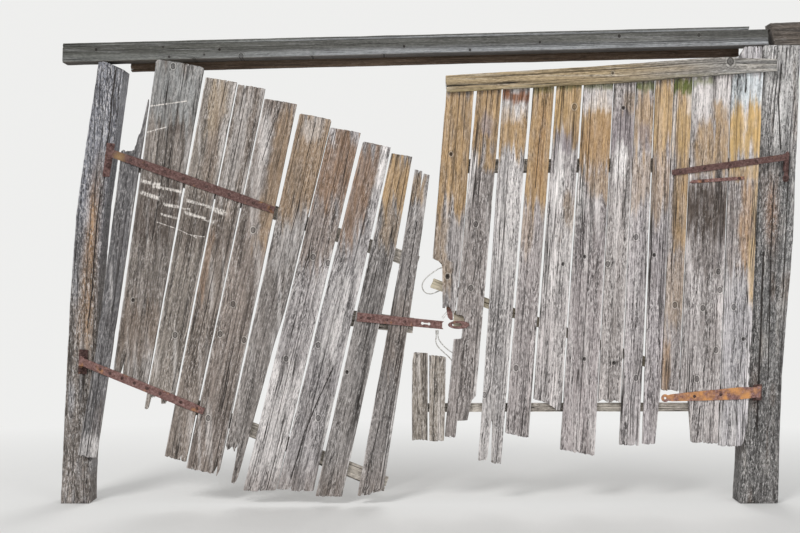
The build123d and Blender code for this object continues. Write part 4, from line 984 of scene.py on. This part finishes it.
# The other timbers' own holes and knots
OWN_KNOTS = {
    "lintel": [
        (-1.853, 2.512, 0.007, 0.006), (-1.170, 2.512, 0.007, 0.006), (-1.051, 2.476, 0.012, 0.0015),
        (-1.311, 2.457, 0.009, 0.0015), (-1.449, 2.472, 0.006, 0.005), (-0.658, 2.470, 0.007, 0.005),
        (-0.260, 2.478, 0.007, 0.006), (-0.149, 2.529, 0.006, 0.005), (-1.482, 2.526, 0.006, 0.004),
        (-1.255, 2.484, 0.005, 0.004), (1.042, 2.586, 0.008, 0.006), (1.482, 2.592, 0.008, 0.002),
        (0.603, 2.553, 0.006, 0.005), (0.216, 2.509, 0.006, 0.005)],
    "top_batten": [(1.640, 2.436, 0.017, 0.002), (0.995, 2.372, 0.007, 0.004)],
}

# Paint, seed, material, pitch, row, reach, edge, relief, checks and jag of the other timbers
OTHER_TIMBERS = {
    "left_post": (left_post_paint, 51, POST_WOOD, POST_PITCH, POST_ROW, 0.4, 0.009, 2.2, 9, (0.004, 0.003)),
    "right_post": (right_post_paint, 52, POST_WOOD, POST_PITCH, POST_ROW, 0.4, 0.010, 2.2, 10,
                   (0.004, 0.003)),
    "lintel": (lintel_paint, 53, LINTEL_WOOD, POST_PITCH, 0.024, 0.1, 0.005, 0.9, 4, (0.003, 0.003)),
    "lintel_lath": (lintel_paint, 54, LINTEL_WOOD, 0.006, 0.03, 0.1, 0.003, 0.8, 1, (0.003, 0.003)),
    # The rail under the lintel: sheltered brown wood with painted shade
    "lintel_rail": (SHELTERED_AND_SHADE_PAINT, 55, LINTEL_WOOD, 0.007, 0.03, 0.1, 0.004, 1.0, 3, (0.004, 0.004)),
    "side_beam_end": (beam_paint, 56, LINTEL_WOOD, POST_PITCH, 0.008, 0.1, 0.006, 1.4, 4, (0.004, 0.002)),
    "top_batten": (batten_paint, 57, BOARD_WOOD, BOARD_PITCH, 0.016, 0.1, 0.005, 1.2, 7, (0.004, 0.003)),
}
for name, (paint, *facts) in OTHER_TIMBERS.items():
    timber(name, paint, *facts, knots=OWN_KNOTS.get(name, ()))
for number, name in enumerate(("left_upper_ledge", "left_lower_ledge", "hasp_ledge", "right_upper_ledge",
                               "right_lower_ledge")):
    timber(name, LEDGE_PAINT, 60 + number, BOARD_WOOD, 0.0045, 0.02, 0.1, 0.003, 1.0, 3, (0.003, 0.003))
for number, name in enumerate(("brace", "keeper_block")):
    timber(name, PALE_PAINT, 70 + number, PALE_WOOD, 0.0040, 0.016, 0.1, 0.004, 0.7, 2, (0.003, 0.003))


# Ironwork

def forged(node, material, voxel=0.0016, pitting=0.0006):
    """An iron piece from its CAD solid, with edges worn round and a pitted face."""
    copy = new_object(node + "_copy", NODES[node].data.copy())
    remesh = copy.modifiers.new("remesh", "REMESH")
    remesh.mode = "VOXEL"
    remesh.voxel_size = voxel
    copy.modifiers.new("smooth", "SMOOTH").iterations = 2
    copy.modifiers.new("fewer", "DECIMATE").ratio = 0.4
    mesh = drawn_mesh(copy)
    bpy.data.objects.remove(copy)
    mesh.name = node + "_iron"
    mesh.materials.clear()
    points, normals = (read_vectors(mesh, name) for name in ("co", "normal"))
    x, y, z = points.T
    dents = 0.6 * blotches(x / 0.021 + y / 0.03, z, 1, 0.021, 5)
    dents += 0.7 * np.maximum(0, noise(x / 0.006 + y / 0.008, z / 0.006, 6))
    points -= normals * (dents * pitting)[:, None]
    mesh.vertices.foreach_set("co", points.astype(np.float32).ravel())
    show(mesh, material, node)


def drawn_mesh(piece):
    """The mesh that a piece shows, with its modifiers or as a curve."""
    bpy.context.view_layer.update()
    return bpy.data.meshes.new_from_object(piece.evaluated_get(bpy.context.evaluated_depsgraph_get()))


def read_vectors(mesh, name):
    """A vector of each vertex, such as its place or its normal."""
    values = np.zeros(len(mesh.vertices) * 3, np.float32)
    mesh.vertices.foreach_get(name, values)
    return values.reshape(-1, 3).astype(float)


NAIL_RADIUS = 0.0085
NAIL_HEIGHT = 0.004
NAIL_SIDES = 14
NAIL_SPACE = 0.02

# A nail head's rings from its back to its crown: shares of the radius, and of the height below the crown
NAIL_RINGS = [(1.0, 1.0), (0.97, 0.62), (0.80, 0.28), (0.48, 0.08)]


def nail_heads(node, material):
    """A group of hand-made nail heads, one for each nail in the CAD node."""
    points = np.array([v.co for v in NODES[node].data.vertices])
    centres = []
    for point in points:
        if all(np.hypot(*(point - c)[[0, 2]]) > NAIL_SPACE for c in centres):
            same = points[np.hypot(*(points - point)[:, [0, 2]].T) < NAIL_SPACE]
            centres.append((same.min(0) + same.max(0)) / 2 * [1, 0, 1] + [0, same[:, 1].min(), 0])
    vertices, polygons = [], []
    for number, (x, y, z) in enumerate(centres):
        base = len(vertices)
        for ring, (radius, height) in enumerate(NAIL_RINGS):
            for k in range(NAIL_SIDES):
                angle = 2 * math.pi * (k + 0.5) / NAIL_SIDES
                uneven = 1 + 0.10 * float(noise(k * 0.7, ring * 0.6, number + 11))
                reach = NAIL_RADIUS * radius * uneven
                vertices.append((x + reach * math.cos(angle), y + NAIL_HEIGHT * height,
                                 z + reach * math.sin(angle)))
        crown, back = len(vertices), len(vertices) + 1
        vertices += [(x, y + 0.0001, z), (x, y + NAIL_HEIGHT, z)]
        last = crown - NAIL_SIDES
        pairs = [(k, (k + 1) % NAIL_SIDES) for k in range(NAIL_SIDES)]
        for ring in range(base, last, NAIL_SIDES):
            upper = ring + NAIL_SIDES
            polygons += [(ring + k, ring + after, upper + after, upper + k) for k, after in pairs]
        for k, after in pairs:
            polygons += [(last + k, last + after, crown), (base + after, base + k, back)]
    show(new_mesh(node + "_heads", vertices, polygons), material, node)


for name, material in (("left_upper_strap", ROOT_RUST), ("left_lower_strap", RUST), ("hasp_bar", RUST),
                       ("left_upper_pintle", DARK_RUST), ("left_lower_pintle", BLACK_RUST), ("keeper", RUST),
                       ("right_upper_strap", DARK_RUST), ("right_upper_pintle", DARK_RUST),
                       ("patch_strap", RED_RUST), ("right_lower_strap", ORANGE_RUST),
                       ("right_lower_pintle", DARK_RUST), ("keeper_strap", RED_RUST),
                       ("cable_hook", DARK_RUST), ("cable_clamp", DARK_RUST)):
    forged(name, material)
forged("pintle_bolts", BLACK_RUST, 0.0012)
forged("cable_ferrule", STEEL, 0.0009, 0.0003)
nail_heads("left_strap_nails", BLACK_RUST)
nail_heads("hasp_nails", DARK_RUST)
nail_heads("right_strap_nails", BLACK_RUST)


# Tie cable and tie wires: the routes of part.py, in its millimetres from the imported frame's ORIGIN
ORIGIN = (0.032, -0.0465, 0.0)
CABLE_DIAMETER = 0.0065
CABLE_STRANDS = 6
LOOP_POINTS = [
    (82, 27, 1199.1), (82, 27, 1232), (75, 20, 1266), (56, 10, 1296), (24, 2, 1308), (-10, 0, 1288),
    (-44, 0, 1263), (-72, 1, 1235), (-84, 4, 1202), (-71, 9, 1171), (-42, 15, 1158), (-13, 22, 1164),
    (12, 27, 1177), (38, 27, 1182), (64.9, 27, 1182)]
HANGING_POINTS = [
    (6, 0, 939.9), (6, 0, 920), (18, 0, 896), (42, 0, 868), (74, 0, 842), (112, 2, 824), (158, 5, 818),
    (200, 7, 794), (213, 8, 752), (190, 8, 716), (148, 7, 710), (114, 5, 736), (94, 3, 778),
    (64, 1, 816), (28, 0, 846), (1, 0, 874), (-7, 0, 900), (-3, 0, 922), (-3, 0, 939.9)]
WIRE_RADIUS = 0.0018
WIRES = [[(66, 0.2, 1074), (54, 0.4, 1060), (40, -1.2, 1046), (28, -0.4, 1030)],
         [(68, 0.2, 1062), (58, 0.5, 1052), (44, -0.9, 1035), (33, 0.3, 1022)]]


def smooth_line(points, name):
    """The points of a smooth line through a route."""
    curve = bpy.data.curves.new(name, "CURVE")
    curve.dimensions = "3D"
    curve.resolution_u = 16
    spline = curve.splines.new("NURBS")
    spline.points.add(len(points) - 1)
    for control, point in zip(spline.points, points):
        control.co = (*(p / 1000 + o for p, o in zip(point, ORIGIN)), 1.0)
    spline.order_u = 3
    spline.use_endpoint_u = True
    holder = new_object(name, curve)
    line = drawn_mesh(holder)
    found = np.array([v.co for v in line.vertices])
    bpy.data.objects.remove(holder)
    bpy.data.curves.remove(curve)
    bpy.data.meshes.remove(line)
    return found


def unit(vectors):
    return vectors / np.linalg.norm(vectors, axis=1)[:, None]


def tube(vertices, polygons, middle, beside, above, radius, sides):
    """Adds a closed tube round a line, with the directions beside and above each of its points."""
    base, rows = len(vertices), len(middle)
    for k in range(sides):
        angle = 2 * math.pi * k / sides
        ring = middle + radius * (math.cos(angle) * beside + math.sin(angle) * above)
        vertices += [tuple(p) for p in ring]
    for k in range(sides):
        here, other = base + k * rows, base + (k + 1) % sides * rows
        polygons += [(here + i, here + i + 1, other + i + 1, other + i) for i in range(rows - 1)]
    first = [base + k * rows for k in range(sides)]
    polygons += [first, [corner + rows - 1 for corner in first[::-1]]]


def stranded(node, points, turns, **facts):
    """A wire cable of strands round a core, along a smooth line."""
    line = smooth_line(points, node + "_line")
    places = np.concatenate([[0], np.cumsum(np.linalg.norm(np.diff(line, axis=0), axis=1))])
    length = float(places[-1])
    steps = np.linspace(0, length, int(length / 0.003))
    centre = np.stack([np.interp(steps, places, line[:, k]) for k in range(3)], axis=1)
    forward = unit(np.gradient(centre, axis=0))
    beside = unit(np.cross(forward, [0.02, 1.0, 0.01]))
    above = np.cross(forward, beside)
    vertices, polygons = [], []
    strands = [(2 * math.pi * k / CABLE_STRANDS, CABLE_DIAMETER / 3) for k in range(CABLE_STRANDS)]
    for phase, reach in [(0.0, 0.0), *strands]:
        angle = (phase + 2 * math.pi * turns * steps / length)[:, None]
        middle = centre + reach * (np.cos(angle) * beside + np.sin(angle) * above)
        tube(vertices, polygons, middle, beside, above, CABLE_DIAMETER / 6, 6)
    piece = show(new_mesh(node + "_strands", vertices, polygons), STEEL, node)


def tie_wires():
    """Two thin tie wires, a little bent."""
    vertices, polygons = [], []
    for number, route in enumerate(WIRES):
        line = smooth_line(route, f"tie_wire_{number}")
        forward = unit(np.gradient(line, axis=0))
        beside = np.cross(forward, [0, 1, 0])
        tube(vertices, polygons, line, beside, np.cross(forward, beside), WIRE_RADIUS, 8)
    show(new_mesh("tie_wires_bent", vertices, polygons), STEEL, "tie_wires")


stranded("cable_loop", LOOP_POINTS, 11, far_end="object", stiffness="stiff", lay="loose")
stranded("cable_hanging", HANGING_POINTS, 16, far_end="object", stiffness="stiff", lay="hanging")
tie_wires()


# Floor, light and camera. Both the far floor and the world show one pale colour, and the lamps
# point at the door's middle.
BACKDROP = (0.86, 0.86, 0.85, 1.0)
LAMP_AIM = (0.0, 0.0, 1.2)


def seen_share(g):
    """1 for the rays that see the background: camera, glossy and transmission rays."""
    path = g.add("LightPath", {}).outputs
    return g.most(path["Is Camera Ray"], path["Is Glossy Ray"], path["Is Transmission Ray"])


def cover(g, share, shader, output):
    """Lays another shader over a graph's own by a share."""
    both = g.add("MixShader", {0: share, 1: g.shader.outputs[0], 2: shader.outputs[0]})
    g.put(g.tree.nodes[output].inputs["Surface"], both.outputs[0])


def floor_paint():
    """Pale paint that fades into the backdrop's colour away from the door."""
    g = surface("floor_paint", 0.9)
    tone = g.noise(g.place(), 1.3, 3)
    x, y, _ = g.split(g.stretch(g.place(), (0.5, 1.0, 1.0)))
    away = g.math("SQRT", g.plus(g.times(x, x), g.times(y, y)))
    far = g.remap(away, 0.7, 3.2, 0.0, 1.0)
    cover(g, g.times(far, seen_share(g)), g.add("Emission", {"Color": BACKDROP}), "Material Output")
    return g.finish(g.blend((0.74, 0.735, 0.72, 1.0), (0.70, 0.695, 0.68, 1.0), tone))


floor_mesh = new_mesh("floor", [(-30, -20, 0), (30, -20, 0), (30, 40, 0), (-30, 40, 0)], [(0, 1, 2, 3)])
floor_mesh.materials.append(floor_paint())
new_object("floor", floor_mesh)

world = bpy.data.worlds.new("studio")
bpy.context.scene.world = world
sky = Graph(world, "Background", Color=(0.80, 0.81, 0.82, 1.0), Strength=0.56)
cover(sky, seen_share(sky), sky.add("Background", {"Color": BACKDROP}), "World Output")


def lamp(name, place, size, power):
    light = bpy.data.lights.new(name, "AREA")
    light.shape = "SQUARE"
    light.size = size
    light.energy = power
    holder = new_object(name, light)
    direction = np.array(LAMP_AIM) - place
    direction /= np.linalg.norm(direction)
    holder.rotation_euler = (math.acos(-direction[2]), 0.0, math.atan2(-direction[0], direction[1]))
    holder.location = place


lamp("key_light", (-5.0, -8.4, 8.4), 3.4, 760.0)
lamp("fill_light", (5.5, -8.0, 3.5), 4.0, 190.0)
lamp("back_light", (1.0, 6.0, 5.0), 4.0, 220.0)

camera = bpy.data.cameras.new("camera")
camera.lens = CAMERA_LENS
camera.sensor_width = SENSOR_WIDTH
camera.clip_end = 100.0
viewer = new_object("camera", camera)
viewer.location = CAMERA_PLACE
viewer.rotation_euler = (math.pi / 2, 0.0, 0.0)
bpy.context.scene.camera = viewer
bpy.context.scene.view_settings.view_transform = "Standard"
